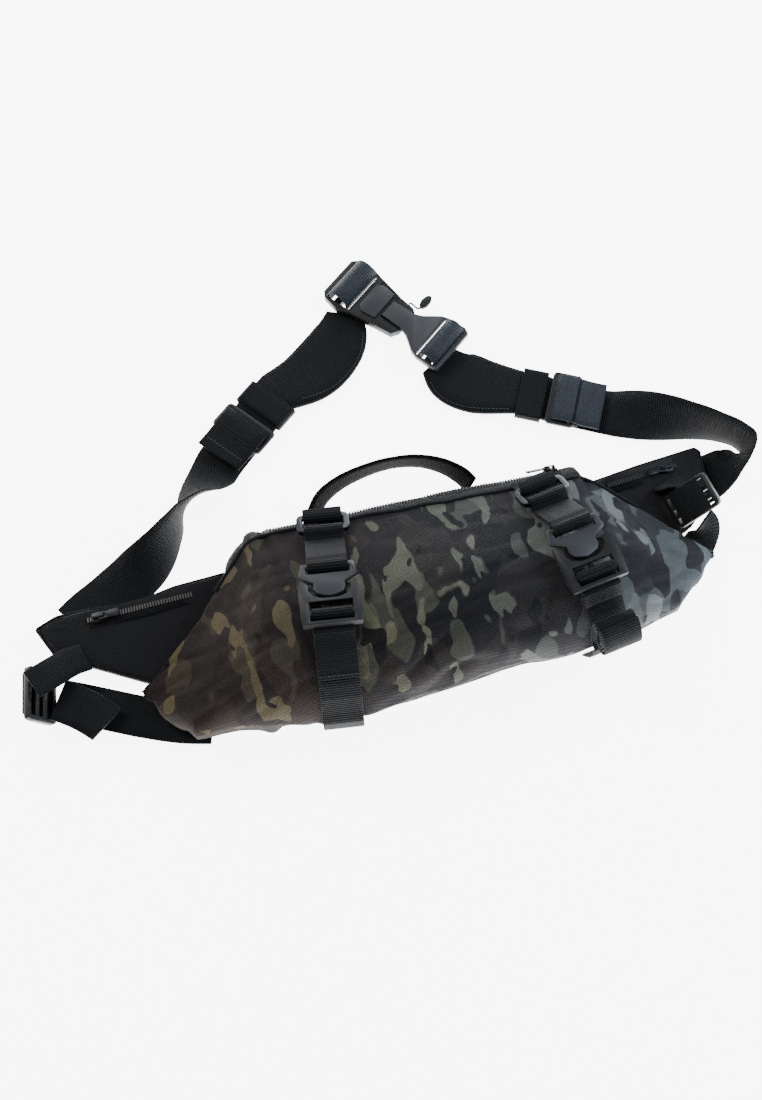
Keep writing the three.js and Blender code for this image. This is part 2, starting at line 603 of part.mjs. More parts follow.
// The right strap's spare webbing is rolled up flat and hangs over the belly.
const ROLL_OFFSET = [1.5, 68.8]; // the roll's middle, past the lower edge and up
const ROLL_TURNS = 3.4;
const rollAt = [rightFront.edge + ROLL_OFFSET[0], ROLL_OFFSET[1]];
const roll = [];
for (let i = 0; i <= 54; i++) {
  const turn = i / 54;
  const angle = degrees(140) - turn * ROLL_TURNS * 2 * Math.PI;
  const [reach, depth] = [lerp(13.5, 5.5, turn) * Math.cos(angle), lerp(9.6, 1.8, turn) * Math.sin(angle)];
  const tilt = degrees(-52);
  roll.push([
    rollAt[0] + reach * Math.cos(tilt) - depth * Math.sin(tilt),
    rollAt[1] + reach * Math.sin(tilt) + depth * Math.cos(tilt),
  ]);
}
rightFront.band(roll, "right_webbing_roll");

// ---- side compression straps ----

// Ladder lock: a frame with a fixed bar for the anchor, a middle bar and a lip.
function ladderLock() {
  const [w, h] = [SIDE_WEB_WIDTH + 9, 27];
  const gap = SIDE_WEB_WIDTH / 2 + 1;
  const holes = [rectangle(-gap, -h / 2 + 3.2, gap, -4.4), rectangle(-gap, -0.8, gap, 3), rectangle(-gap, 6.2, gap, h / 2 - 3)];
  const body = solid(plate(roundedRectangle(w, h, 3), 4.4, holes.map((r) => [...r].reverse()), -2.2));
  return geometryOf(body);
}

function sideLock(name, centre, along, across) {
  add(name + "_ladder_lock", settle(ladderLock(), centre, along, across), "plastic");
}

sideLock("left", v3(-281.5, -18, 19.5), v3(-0.52, 0.1, 0.85), v3(0.13, 0.99, 0));
add("left_side_anchor", strap([
  [-246, 3, 17.8, 0], [-256, 0, 23, 6], [-270, -8, 31.5, 10], [-283, -14, 35.4, 4],
], 22, 1.6, 8), "webbing");
add("left_side_webbing", strap([
  [-168, -66, 12.6, 0], [-188, -59.5, 9, 0], [-214, -48, 6.2, 0], [-238, -36, 5.6, 0], [-258, -26, 5.6, 0], [-270, -20.5, 6.4, 0],
], SIDE_WEB_WIDTH, 1.6, 14), "webbing");
add("left_side_tail", strap([
  [-270, -24, 19.5, 0], [-262, -29, 18.5, 0], [-252, -36.5, 15.5, 4], [-243.5, -45, 14.5, 8], [-240, -49, 16.5, 8],
], SIDE_WEB_WIDTH, 1.6, 10), "webbing");

sideLock("right", v3(208, 4, 34.5), v3(0.2, -0.97, -0.1), v3(0.62, 0.14, 0.77));
add("right_side_anchor", strap([
  [199, 29.5, 17.9, 0], [200.5, 26, 21, 18], [203, 21.6, 26, 36], [204.6, 18.6, 30, 46],
], SIDE_WEB_WIDTH - 6, 1.6, 8), "webbing");
add("right_side_webbing", strap([
  [212, -12.5, 33, 46], [213, -16.5, 26, 34], [209.5, -22, 16.4, 10], [202, -30, 12, 3], [190, -41, 10.5, 0], [178, -51, 10.5, 0],
], SIDE_WEB_WIDTH - 6, 1.6, 14), "webbing");

// ---- shoulder strap ----

// Slider: a three-bar frame. The wing's webbing is sewn round one outer bar, and the webbing from the
// buckle turns round the middle bar.
const GLIDE_Z = 6.9;
const KEEPER_Z = 4.4;
function triGlide(width) {
  const gap = width / 2 + 1;
  const holes = [rectangle(-gap, -8.4, gap, -1.5), rectangle(-gap, 1.5, gap, 8.4)];
  return plate(roundedRectangle(width + 8, 23, 3), 3, holes.map((hole) => [...hole].reverse()), -1.5);
}

// The sewn end: doubled webbing with an eye round the slider's outer bar at the origin.
function sewnEnd(width, length) {
  const outer = 3.9;
  const outline = [
    ...arc(0, 0, outer, -60, 240, 10), [-1.7, -outer - 2], [-1.7, -length], [1.7, -length], [1.7, -outer - 2],
  ];
  const end = plate(outline, width, [arc(0, 0, 2.4, 360, 45, 7)], -width / 2);
  return end.rotateY(Math.PI / 2);
}

// Keeper: a flat loop of elastic round both layers.
function keeper(width, length, height) {
  const outer = roundedRectangle(width + 5.6, height + 2.6, 1.4);
  const inner = roundedRectangle(width + 3, height, 0.9).reverse();
  return plate(outer, length, [inner], -length / 2).rotateX(-Math.PI / 2);
}

// One half's slider, sewn end and keeper, laid out along `aim` from the slider's middle.
function adjuster(side, centre, aim, keeperAt) {
  const along = v3(aim[0], aim[1], 0).normalize();
  const across = along.clone().cross(UP);
  const at = (s, z) => v3(centre[0], centre[1], z).addScaledVector(along, s);
  add(side + "_strap_slider", settle(triGlide(STRAP_WIDTH), at(0, GLIDE_Z), along, across), "plastic");
  add(side + "_sewn_end", settle(sewnEnd(STRAP_WIDTH, 20), at(-9.95, GLIDE_Z), along, across), "webbing");
  add(side + "_keeper", settle(keeper(STRAP_WIDTH, 20, 5.6), at(keeperAt, KEEPER_Z), along, across), "nylon");
  return at;
}

// The buckle's own directions: along it from the female half's bar to the male's, and across it.
const BUCKLE = v3(46, 222, 0);
const BUCKLE_TURN = degrees(-52);
const buckleAlong = v3(Math.cos(BUCKLE_TURN), Math.sin(BUCKLE_TURN), 0);
const buckleAcross = UP.clone().cross(buckleAlong); // points away from the bag
const onBuckle = (a, b, z) => BUCKLE.clone().addScaledVector(buckleAlong, a).addScaledVector(buckleAcross, b).setZ(z);
const BAR_HEADING = 38; // the bars' direction in plan
const FEMALE_BAR = -51;
const MALE_BAR = 39.5;
const BUCKLE_Z = [5, 11];

const plain = (p) => [p.x, p.y, p.z];
const DOUBLED = 3.8; // two layers of the strap

// A strap standing on one edge at [x, y, roll] keeps that edge just off the ground.
const standing = ([x, y, roll]) => [x, y, 1.2 + 19.6 * Math.abs(Math.sin(degrees(roll))), roll];

// Left half: from under the wing, once over, to the slider.
const LEFT_ADJUSTER = { centre: [-98, 159], aim: [0.78, 0.62] };
const leftAt = adjuster("left", LEFT_ADJUSTER.centre, LEFT_ADJUSTER.aim, 27);
add("left_strap", strap([
  [-252, 34, 0], [-241.5, 41.1, 0], [-226, 48.5, -3], [-204.7, 57, -20], [-189.1, 65, -43], [-176.3, 75, -63],
  [-167.5, 84, -76], [-159.4, 93.4, -90], [-150, 104, -116], [-141, 114, -146], [-130, 127, -172],
  [-121, 139, -180], [leftAt(-8, 0).x, leftAt(-8, 0).y, -180],
].map(standing), STRAP_WIDTH, STRAP_THICK, 44), "webbing");

// Doubled from under the slider, through the keeper and round to the female half's bar.
add("left_strap_upper", strap([
  plain(leftAt(-2, 2.4)), plain(leftAt(10, 2.4)), plain(leftAt(17, KEEPER_Z)), plain(leftAt(50, KEEPER_Z)),
  [-41, 191.5, 2.8], [-11, 210, 2.3], [6, 226, 2.3, 0, -42], [15, 240.5, 2.3, 0, -10],
  plain(onBuckle(FEMALE_BAR + 13, -3, 2.3)).concat(0, 24),
], STRAP_WIDTH, DOUBLED, 46), "webbing");

// A loop of strap round a buckle bar, seen along the bar as [along the buckle, z].
function barLoop(name, bar, slots, height) {
  const path = [
    [slots[0], 4.7], [slots[0], 8.5], ...arc(bar, height - 6.4, 6.4, 172, 8, 8),
    [slots[1], 8.5], [slots[1], 4.7],
  ];
  const matrix = new THREE.Matrix4().makeBasis(buckleAlong, UP, buckleAcross.clone().negate());
  matrix.setPosition(BUCKLE.x, BUCKLE.y, 0);
  const loop = plate(edgeOn(path, STRAP_THICK), STRAP_WIDTH, [], -STRAP_WIDTH / 2);
  add(name, loop.applyMatrix4(matrix), "webbing");
}
barLoop("left_bar_loop", FEMALE_BAR, [FEMALE_BAR - 5.6, FEMALE_BAR + 5.4], 19.6);
barLoop("right_bar_loop", MALE_BAR, [MALE_BAR - 5.4, MALE_BAR + 5.5], 18.6);

// Right half: from under the wing, up on its edge round the turn, and flat to its slider.
const RIGHT_ADJUSTER = { centre: [150, 121], aim: [-0.885, 0.465] };
const rightAt = adjuster("right", RIGHT_ADJUSTER.centre, RIGHT_ADJUSTER.aim, 25);
add("right_strap", strap([
  [214, 27, 0], [231, 29.5, 0], [243, 31.5, 14], [253, 33, 38], [263, 36, 66], [270.5, 42, 88], [266, 52, 90],
  [252, 63, 84], [234, 73.5, 70], [213, 85, 46], [196, 95, 22], [182, 103.5, 4], [172, 109, 0],
  [rightAt(-8, 0).x, rightAt(-8, 0).y, 0],
].map(standing), STRAP_WIDTH, STRAP_THICK, 44), "webbing");
add("right_strap_upper", strap([
  plain(rightAt(-2, 2.4)), plain(rightAt(10, 2.4)), plain(rightAt(15, KEEPER_Z)), plain(rightAt(44, KEEPER_Z)),
  [100, 144, 2.6, 0, 61], [86.5, 153.5, 2.3, 0, 50], plain(onBuckle(MALE_BAR + 22, -3.5, 2.3)).concat(0, 41),
  plain(onBuckle(MALE_BAR + 10, 0, 2.3)).concat(0, BAR_HEADING),
], STRAP_WIDTH, DOUBLED, 26), "webbing");

// ---- magnetic buckle ----

// Each half is drawn with x across and y along the buckle, y = 0 where the halves meet.
function mirrored(half) {
  return [...half, ...half.map(([x, y]) => [-x, y]).reverse()];
}
const onTheBuckle = (geometry, z) => settle(geometry, onBuckle(0, 0, z), buckleAlong, buckleAcross.clone().negate());
const holeIn = (outline, low, high) => solid(plate(outline, high - low, [], low));
const MAGNET_Y = -11.5;
const circle = (y, radius) => arc(0, y, radius, 0, 330, 11);

const femaleOutline = [
  [18, -66], [22, -61.8], [25, -47], [22, -37], [18, -12], [16.8, 1], [10.5, 5],
  [-10, 5], [-13, 1], [-14.6, -12], [-20.5, -37], [-23.4, -47], [-22, -61.8], [-18, -66],
];
const slotHalf = STRAP_WIDTH / 2 + 1;
const female = solid(plate(femaleOutline, BUCKLE_Z[1] - BUCKLE_Z[0], [
  rectangle(-slotHalf, -62.5, slotHalf, -54).reverse(), rectangle(-slotHalf, -48, slotHalf, -39.5).reverse(),
]))
  .add(holeIn(mirrored([[11, -35], [15, -30], [13.5, -18]]), 5.9, 7.4))
  .subtract(holeIn(rectangle(-9.2, -15.4, 9.2, 6), 2.8, 9))
  .subtract(holeIn(rectangle(-20, -8, 7, -3), 0.9, 3))
  .subtract(holeIn(circle(MAGNET_Y, 3.3), -1, 1.6));
add("buckle_female", onTheBuckle(geometryOf(female), BUCKLE_Z[0]), "plastic");

const maleOutline = mirrored([
  [8, -14.6], [8.5, 6], [11, 12], [20, 24], [22, 30], [22.5, 46], [20, 50.5],
]);
const maleBase = solid(plate(maleOutline, 4.6, [
  rectangle(-slotHalf, 28, slotHalf, 36.6).reverse(), rectangle(-slotHalf, 42.4, slotHalf, 47.2).reverse(),
], 3.2))
  .subtract(holeIn(rectangle(-8.6, -8, 2.2, -3), 3, 6))
  .subtract(holeIn(circle(MAGNET_Y, 3.1), 3, 5));
add("buckle_male", onTheBuckle(geometryOf(maleBase), BUCKLE_Z[0]), "plastic");

const latch = solid(plate(rectangle(-15.4, -7.6, 6.4, -3.4), 1.5)).add(holeIn(rectangle(-1.6, -7.4, 1.8, -3.6), 1, 4));
add("buckle_latch", onTheBuckle(geometryOf(latch), BUCKLE_Z[0] + 1.2), "plastic");
const magnet = (z) => onTheBuckle(new THREE.CylinderGeometry(2.7, 2.7, 1.3, 12).rotateX(Math.PI / 2).translate(0, MAGNET_Y, 0.65), z);
add("female_magnet", magnet(BUCKLE_Z[0]), "alloy");
add("male_magnet", magnet(BUCKLE_Z[0] + 3.4), "alloy");

// The latch's pull: a short cord with a moulded oval tab.
const cordLine = new THREE.CatmullRomCurve3(
  [[-16.2, -5.5], [-17.6, -4.6], [-17.2, 0], [-17, 3], [-19.6, 4.3]].map(([x, y]) => v3(x, y, 0)),
);
const cord = new THREE.ExtrudeGeometry(
  new THREE.Shape(arc(0, 0, 0.8, 0, 315, 7).map(([x, y]) => new THREE.Vector2(x, y))),
  { steps: 10, extrudePath: cordLine, bevelEnabled: false },
);
const tab = plate(arc(0, 0, 1, 0, 337.5, 15).map(([x, y]) => [x * 6.9 - 25.5, y * 3.5 + 4.3]), 2.4, [], -1.2);
add("latch_pull", onTheBuckle(geometryOf(solid(cord).add(solid(tab))), BUCKLE_Z[0] + 2), "plastic");

export default group;
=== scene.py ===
import json
import math

import bmesh
import bpy
import numpy as np
from mathutils import Matrix, Vector, noise

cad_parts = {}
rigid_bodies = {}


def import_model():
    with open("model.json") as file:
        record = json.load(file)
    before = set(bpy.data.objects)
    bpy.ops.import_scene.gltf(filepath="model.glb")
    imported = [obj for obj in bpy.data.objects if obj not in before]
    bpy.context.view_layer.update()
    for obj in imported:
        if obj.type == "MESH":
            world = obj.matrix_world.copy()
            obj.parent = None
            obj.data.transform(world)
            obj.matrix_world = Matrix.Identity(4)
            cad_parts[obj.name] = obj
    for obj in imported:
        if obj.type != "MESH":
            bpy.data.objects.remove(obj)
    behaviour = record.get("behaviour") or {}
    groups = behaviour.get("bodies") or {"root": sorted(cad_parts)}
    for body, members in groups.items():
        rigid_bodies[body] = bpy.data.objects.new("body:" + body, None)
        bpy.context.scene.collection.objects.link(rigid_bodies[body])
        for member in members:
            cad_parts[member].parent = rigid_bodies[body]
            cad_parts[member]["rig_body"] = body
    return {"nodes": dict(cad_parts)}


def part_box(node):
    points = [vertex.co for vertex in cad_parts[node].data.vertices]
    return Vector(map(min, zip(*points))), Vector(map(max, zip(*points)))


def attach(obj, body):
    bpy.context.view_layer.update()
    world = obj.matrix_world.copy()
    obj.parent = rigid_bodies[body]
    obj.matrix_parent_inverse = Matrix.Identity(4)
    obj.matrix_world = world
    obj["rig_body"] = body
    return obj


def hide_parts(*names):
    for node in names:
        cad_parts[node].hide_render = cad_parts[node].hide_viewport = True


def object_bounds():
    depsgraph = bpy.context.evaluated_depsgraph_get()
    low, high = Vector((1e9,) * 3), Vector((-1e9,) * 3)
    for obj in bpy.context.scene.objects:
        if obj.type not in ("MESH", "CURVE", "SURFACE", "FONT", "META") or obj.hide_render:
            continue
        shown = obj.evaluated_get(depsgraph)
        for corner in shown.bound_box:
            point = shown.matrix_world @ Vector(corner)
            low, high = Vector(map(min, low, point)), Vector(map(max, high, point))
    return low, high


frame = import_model()
cad_box = [list(corner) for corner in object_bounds()]
nodes = frame["nodes"]

# ---- floor, light and camera ----
# The bag lies on its back on a pale floor. One big soft light stands over its left shoulder, a
# cooler window light comes in from the right, and the camera looks steeply down on the front.

CAMERA_PLACE = Vector((-0.11021335, -0.31357681, 0.89552189))
CAMERA_TURN = math.radians(-14.5)
CAMERA_HEIGHT = math.radians(68)
FLOOR_GAP = 0.0006
FLOOR_REACH = 6


def aimed(obj, place, back, right):
    """Places a camera or light at `place` with its local Z along `back` and X along `right`."""
    up = back.cross(right)
    turn = Matrix((right, up, back)).transposed().to_4x4()
    obj.matrix_world = Matrix.Translation(place) @ turn
    bpy.context.scene.collection.objects.link(obj)


camera_data = bpy.data.cameras.new("camera")
camera_data.lens = 42
camera_data.sensor_fit = "VERTICAL"
camera_data.sensor_height = 36
camera = bpy.data.objects.new("camera", camera_data)
camera_back = Vector((
    math.sin(CAMERA_TURN) * math.cos(CAMERA_HEIGHT),
    -math.cos(CAMERA_TURN) * math.cos(CAMERA_HEIGHT),
    math.sin(CAMERA_HEIGHT),
))
camera_right = Vector((math.cos(CAMERA_TURN), math.sin(CAMERA_TURN), 0))
aimed(camera, CAMERA_PLACE, camera_back, camera_right)
bpy.context.scene.camera = camera


def softbox(name, place, target, size, power, tint):
    """A square area light at `place`, turned to `target`."""
    data = bpy.data.lights.new(name, "AREA")
    data.size = size
    data.energy = power
    data.color = tint
    back = (Vector(place) - Vector(target)).normalized()
    right = Vector((0, 0, 1)).cross(back)
    right = right.normalized() if right.length > 1e-3 else Vector((1, 0, 0))
    aimed(bpy.data.objects.new(name, data), Vector(place), back, right)


softbox("key_light", (-0.75, 0.85, 1.25), (0, 0.05, 0), 0.8, 20, (1, 0.96, 0.9))
softbox("window_light", (1.15, 0.1, 0.8), (0.1, 0.05, 0), 0.7, 20, (0.74, 0.87, 1))
softbox("strap_light", (0.2, 1.3, 0.5), (0, 0.15, 0), 0.6, 8, (0.85, 0.93, 1))
world = bpy.data.worlds.new("studio")
world.use_nodes = True
world.node_tree.nodes["Background"].inputs["Color"].default_value = (0.95, 0.97, 1, 1)
world.node_tree.nodes["Background"].inputs["Strength"].default_value = 0.5
bpy.context.scene.world = world


def linear(code):
    """A material's colour from its sRGB hex code."""
    parts = [int(code[i:i + 2], 16) / 255 for i in (0, 2, 4)]
    return [p / 12.92 if p <= 0.04045 else ((p + 0.055) / 1.055) ** 2.4 for p in parts] + [1]


def add_node(material, kind, links=None, **settings):
    """Adds a shader node; `links` maps its input names or numbers to sockets."""
    node = material.node_tree.nodes.new("ShaderNode" + kind)
    for key, value in settings.items():
        name = key.replace("_", " ")
        if hasattr(node, key):
            setattr(node, key, value)
        else:
            node.inputs[name if name in node.inputs else name.title()].default_value = value
    for key, socket in (links or {}).items():
        material.node_tree.links.new(socket, node.inputs[key])
    return node


def finish_of(name, **settings):
    """A new material and its shader, with the shader's own sockets set."""
    material = bpy.data.materials.new(name)
    material.use_nodes = True
    shader = material.node_tree.nodes["Principled BSDF"]
    for key, value in settings.items():
        shader.inputs[key.replace("_", " ")].default_value = value
    return material, shader


def speckled(material, shader, scale, dark, light, **settings):
    """Colours a finish between two tones by fine noise; returns its coordinates and the noise."""
    place = add_node(material, "TexCoord").outputs["Object"]
    grain = add_node(material, "TexNoise", {"Vector": place}, Scale=scale, **settings).outputs["Fac"]
    tone = add_node(material, "ValToRGB", {"Fac": grain})
    tone.color_ramp.elements[0].color = linear(dark)
    tone.color_ramp.elements[1].color = linear(light)
    material.node_tree.links.new(tone.outputs["Color"], shader.inputs["Base Color"])
    return place, grain


# White translucent acrylic, lit softly from below.
floor_sheet, shader = finish_of("lit_white_acrylic", Roughness=0.9, Emission_Strength=7)
shader.inputs["Emission Color"].default_value = (1, 1, 1, 1)
speckled(floor_sheet, shader, 300, "f0f1f2", "ffffff")
floor_mesh = bpy.data.meshes.new("floor")
floor_corners = ((-1, -1), (1, -1), (1, 1), (-1, 1))
floor_mesh.from_pydata(
    [(x * FLOOR_REACH, y * FLOOR_REACH, cad_box[0][2] - FLOOR_GAP) for x, y in floor_corners],
    [], [(0, 1, 2, 3)],
)
floor_mesh.materials.append(floor_sheet)
floor = bpy.data.objects.new("floor", floor_mesh)
bpy.context.scene.collection.objects.link(floor)

# ---- front, side panels and bottom ----
# Heavy woven nylon cloth with a printed pattern, cut in three and sewn beside the straps, over a
# plain black bottom strip. The shape is lofted across the bag's length, then creased.

MM = 0.001
EAR_FLOOR = 17.6
BELT_TOP = 9.3
SEAM_TOP_Z = 41
LEDGE = 10
LEDGE_Z = 27
BELLY_Z = 25
HEM_Z = 38
CREST_Z = 80.5
BODY_MIDDLE = 1.5
BODY_HALF = 85
EAR_LENGTH = 128
CLOTH_THICK = 1.2
CREASE_TOP = 1.4
ZIP_ENDS = ((-116, 53), (133, 46.5))
UPPER_EDGE = [(-212, -35), (-160, 6), *ZIP_ENDS, (215, -36)]
LOWER_EDGE = [
    (-212, -35), (-198, -61), (-181, -77), (-150, -79.5), (-122, -84), (-92, -93), (-60, -95), (-28, -92),
    (10, -90), (50, -86.5), (90, -87), (118, -86), (146, -78), (175, -71), (196, -54), (215, -36),
]
FRONT_PROFILE = [
    (0, HEM_Z), (0.03, 53), (0.1, 67), (0.22, 77.5), (0.36, CREST_Z), (0.52, 76), (0.7, 65), (0.86, 53),
    (1, SEAM_TOP_Z),
]
SEAM_LEFT = ((-104, 56), (-76, -130))
SEAM_RIGHT = ((139, 56), (114, -130))


def mix(a, b, t):
    return a + (b - a) * t


def smooth_step(x, low, high):
    t = min(1, max(0, (x - low) / (high - low)))
    return t * t * (3 - 2 * t)


def on_line(corners, x):
    return float(np.interp(x, [c[0] for c in corners], [c[1] for c in corners]))


def uniform_spline(points, count):
    """Points of a Catmull-Rom curve through `points`, evenly by parameter."""
    out = []
    for i in range(count):
        place = i / (count - 1) * (len(points) - 1)
        k = min(int(place), len(points) - 2)
        t = place - k
        p = [Vector(points[min(max(k + o, 0), len(points) - 1)]) for o in (-1, 0, 1, 2)]
        v0, v1 = (p[2] - p[0]) / 2, (p[3] - p[1]) / 2
        cubic = 2 * p[1] - 2 * p[2] + v0 + v1
        square = -3 * p[1] + 3 * p[2] - 2 * v0 - v1
        out.append(cubic * t ** 3 + square * t ** 2 + v0 * t + p[1])
    return out


FRONT_CURVE = [tuple(p) for p in uniform_spline([(*p, 0) for p in FRONT_PROFILE], 61)]


def zip_line(x):
    """Y of the front's upper seam, beside the zip."""
    (x0, y0), (x1, y1) = ZIP_ENDS
    return mix(y0, y1, (x - x0) / (x1 - x0))


def into_ear(x):
    """0 over the body of the bag, rising to 1 at the tip of either ear."""
    return min(1, max(0, (abs(x - BODY_MIDDLE) - BODY_HALF) / EAR_LENGTH))


def over_body(x):
    """1 where the back lies under the front, fading to 0 beyond its ends."""
    return smooth_step(x, -130, -113) * (1 - smooth_step(x, 128, 143))


def floor_at(x):
    return mix(EAR_FLOOR, BELT_TOP + 0.3, smooth_step(x, -138, -126) * (1 - smooth_step(x, 130, 142)))


def front_height(x, t):
    """Height of the front at x, a part t of the way from its lower edge to its upper."""
    out = into_ear(x)
    low = mix(HEM_Z, EAR_FLOOR + 3, out ** 1.4)
    high = mix(SEAM_TOP_Z, EAR_FLOOR + 4, out ** 1.2)
    middle = float(np.interp(t, [p[0] for p in FRONT_CURVE], [p[1] for p in FRONT_CURVE]))
    return mix(low, high, t) + (middle - mix(HEM_Z, SEAM_TOP_Z, t)) * (1 - out ** 1.5)


def front_at(x, y):
    low, high = on_line(LOWER_EDGE, x), on_line(UPPER_EDGE, x)
    return front_height(x, min(1, max(0, (y - low) / (high - low))))


def slice_at(x):
    """The bag's outline across its length at x, from the back up over the belly to the rim."""
    low, high, body = on_line(LOWER_EDGE, x), on_line(UPPER_EDGE, x), over_body(x)
    under = min(9, (high - low) * 0.15) * body
    base = floor_at(x)
    corners = [(low + under, base), (low + under * 0.3, mix(base, front_height(x, 0), 0.5))]
    corners += [(mix(low, high, p[0]), front_height(x, p[0])) for p in FRONT_CURVE]
    ledge_z = mix(front_height(x, 1) - 2, LEDGE_Z, body)
    corners.append((high + mix(0.6, LEDGE, body), ledge_z))
    rim_y = max(mix(high + 0.8, zip_line(x) + 16.5, body), high + 0.8)
    corners.append((mix(high + 0.7, rim_y, 0.5 + 0.3 * body), mix(ledge_z, base, 0.55)))
    corners.append((rim_y, base))
    return corners


def on_seam(seam, y):
    return mix(seam[0][0], seam[1][0], (y - seam[0][1]) / (seam[1][1] - seam[0][1]))


STRAP_TRACKS = [((-60, 47), (-72.5, -42)), ((97, 28), (109, -57))]


def crease(x, y, z):
    """How far the cloth stands off its cut shape, in millimetres."""
    point = Vector((x * 0.011, y * 0.016, z * 0.012))
    swell = noise.noise(point) * 1.5
    fold = noise.noise(Vector((x * 0.02 + y * 0.014, y * 0.06 - x * 0.012, 3.1)))
    folds = -1.5 * max(0, 0.36 - abs(fold)) / 0.36
    belly = 1 - smooth_step(y, -60, 5)
    fine = noise.noise(Vector((x * 0.07, y * 0.09, z * 0.05 + 9))) * 0.35
    off = swell + folds * (0.5 + 1.1 * belly) + fine
    for seam in (SEAM_LEFT, SEAM_RIGHT):
        away = abs(x - on_seam(seam, y))
        off -= 1.5 * math.exp(-(away / 2.4) ** 2) - 0.7 * math.exp(-((away - 6) / 3.5) ** 2)
    for (x0, y0), (x1, y1) in STRAP_TRACKS:
        away = abs(x - mix(x0, x1, (y - y0) / (y1 - y0)))
        near = math.exp(-(away / 24) ** 2)
        off = off * (1 - 0.7 * near) - 1.1 * near
    ear = into_ear(x)
    pull = noise.noise(Vector((x * 0.03 + y * 0.05, y * 0.012, 21)))
    off += 1.6 * ear * (1 - ear) * 2 * pull
    return min(off, CREASE_TOP)


def surface(name, points, faces):
    mesh = bpy.data.meshes.new(name)
    mesh.from_pydata([tuple(p) for p in points], [], faces)
    mesh.update()
    return mesh


def shown(name, mesh, material, replaced=(), body=None):
    """Makes the piece's object, gives it its finish and fixes it to the body of what it replaces."""
    mesh.materials.clear()
    mesh.materials.append(material)
    mesh.polygons.foreach_set("use_smooth", [True] * len(mesh.polygons))
    obj = bpy.data.objects.new(name, mesh)
    bpy.context.scene.collection.objects.link(obj)
    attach(obj, body or nodes[replaced[0]]["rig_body"])
    if replaced:
        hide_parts(*replaced)
    return obj


WAVE_TURN = 6.2832


def weave_bump(material, shader, warp, weft, depth, coordinates):
    """Threads crossing at the given spacings in metres, as bump."""
    height = None
    for spacing, direction in ((warp, "X"), (weft, "Y")):
        threads = add_node(
            material, "TexWave", {"Vector": coordinates}, wave_type="BANDS", bands_direction=direction,
            Scale=1 / spacing / WAVE_TURN * 2, Distortion=1.2, Detail=1,
        )
        if height is None:
            height = threads.outputs["Fac"]
        else:
            crossed = add_node(material, "Math", {0: height, 1: threads.outputs["Fac"]}, operation="MULTIPLY")
            height = crossed.outputs[0]
    bump = add_node(material, "Bump", {"Height": height}, Strength=depth, Distance=0.0006)
    material.node_tree.links.new(bump.outputs["Normal"], shader.inputs["Normal"])


# Printed heavy nylon: matte, slightly fuzzy, with a coarse basket weave. The blotches are long and run
# up the bag; the weave is drawn at 1.3 mm so that it shows.
camo_cloth, shader = finish_of("printed_woven_nylon", Roughness=0.86, Sheen_Weight=0.03, Sheen_Roughness=0.5)
shader.inputs["Specular IOR Level"].default_value = 0.12
place = add_node(camo_cloth, "TexCoord").outputs["Object"]
run = add_node(camo_cloth, "SeparateXYZ", {0: place})
warp = add_node(camo_cloth, "TexNoise", {"Vector": place}, Scale=26, Detail=2)
bent = add_node(camo_cloth, "VectorMath", {0: warp.outputs["Color"]}, operation="MULTIPLY_ADD")
bent.inputs[1].default_value = (0.022, 0.022, 0)
camo_cloth.node_tree.links.new(place, bent.inputs[2])


def blotches(stretch, scale, low, high, seed, detail=1.5, roughness=0.45):
    """A mask of printed blotches: noise stretched by `stretch`, cut between `low` and `high`."""
    fit = add_node(camo_cloth, "Mapping", {"Vector": bent.outputs[0]})
    fit.inputs["Scale"].default_value = stretch
    fit.inputs["Location"].default_value = (seed, seed * 0.7, 0)
    field = add_node(
        camo_cloth, "TexNoise", {"Vector": fit.outputs[0]}, Scale=scale, Detail=detail, Roughness=roughness,
    ).outputs["Fac"]
    denser = add_node(camo_cloth, "Math", {0: run.outputs["X"], 2: field}, operation="MULTIPLY_ADD")
    denser.inputs[1].default_value = 0.2
    edge = add_node(camo_cloth, "MapRange", {"Value": denser.outputs[0]})
    edge.inputs["From Min"].default_value = low
    edge.inputs["From Max"].default_value = high
    return edge.outputs["Result"]


across_bag = add_node(camo_cloth, "MapRange", {"Value": run.outputs["X"]})
across_bag.inputs["From Min"].default_value = -0.16
across_bag.inputs["From Max"].default_value = 0.2


def painted_light_cast(codes):
    """A colour that changes along the bag, from its left tip to its right: painted light, a warm cast at the
    left and a bluish painted highlight at the right.
    """
    ramp = add_node(camo_cloth, "ValToRGB", {"Fac": across_bag.outputs["Result"]})
    ramp.color_ramp.elements.new(0.45)
    for element, code in zip(ramp.color_ramp.elements, codes):
        element.color = linear(code)
    return ramp.outputs["Color"]


def printed(under, mask, codes):
    """Lays one ink, with its painted light cast along the bag, over what is printed already."""
    layer = add_node(camo_cloth, "Mix", {0: mask, 6: under, 7: painted_light_cast(codes)}, data_type="RGBA")
    return layer.outputs[2]


# Each ink's three tones are its print colour under painted light: warm at the left tip, bluish and lighter at
# the right, where the window light falls.
colour = painted_light_cast(("1b1513", "161518", "191b20"))
colour = printed(colour, blotches((1, 0.6, 0.8), 30, 0.48, 0.51, 3.1), ("241c18", "201d1d", "22252a"))
colour = printed(colour, blotches((1, 0.36, 0.7), 44, 0.575, 0.59, 7.4), ("2c261e", "34352f", "3d4347"))
colour = printed(colour, blotches((1, 0.3, 0.7), 58, 0.592, 0.604, 12.6), ("453d2a", "44453d", "4b5254"))
colour = printed(colour, blotches((1, 0.42, 0.7), 40, 0.655, 0.667, 11.9), ("58502f", "4f4f45", "596062"))
colour = printed(colour, blotches((1, 0.5, 0.7), 62, 0.62, 0.632, 17.3), ("160f0e", "121114", "15171b"))
speckle = add_node(camo_cloth, "TexNoise", {"Vector": place}, Scale=900, Detail=2)
grain = add_node(
    camo_cloth, "Mix", {6: colour, 7: speckle.outputs["Color"]}, data_type="RGBA", blend_type="OVERLAY",
)
grain.inputs[0].default_value = 0.45
camo_cloth.node_tree.links.new(grain.outputs[2], shader.inputs["Base Color"])
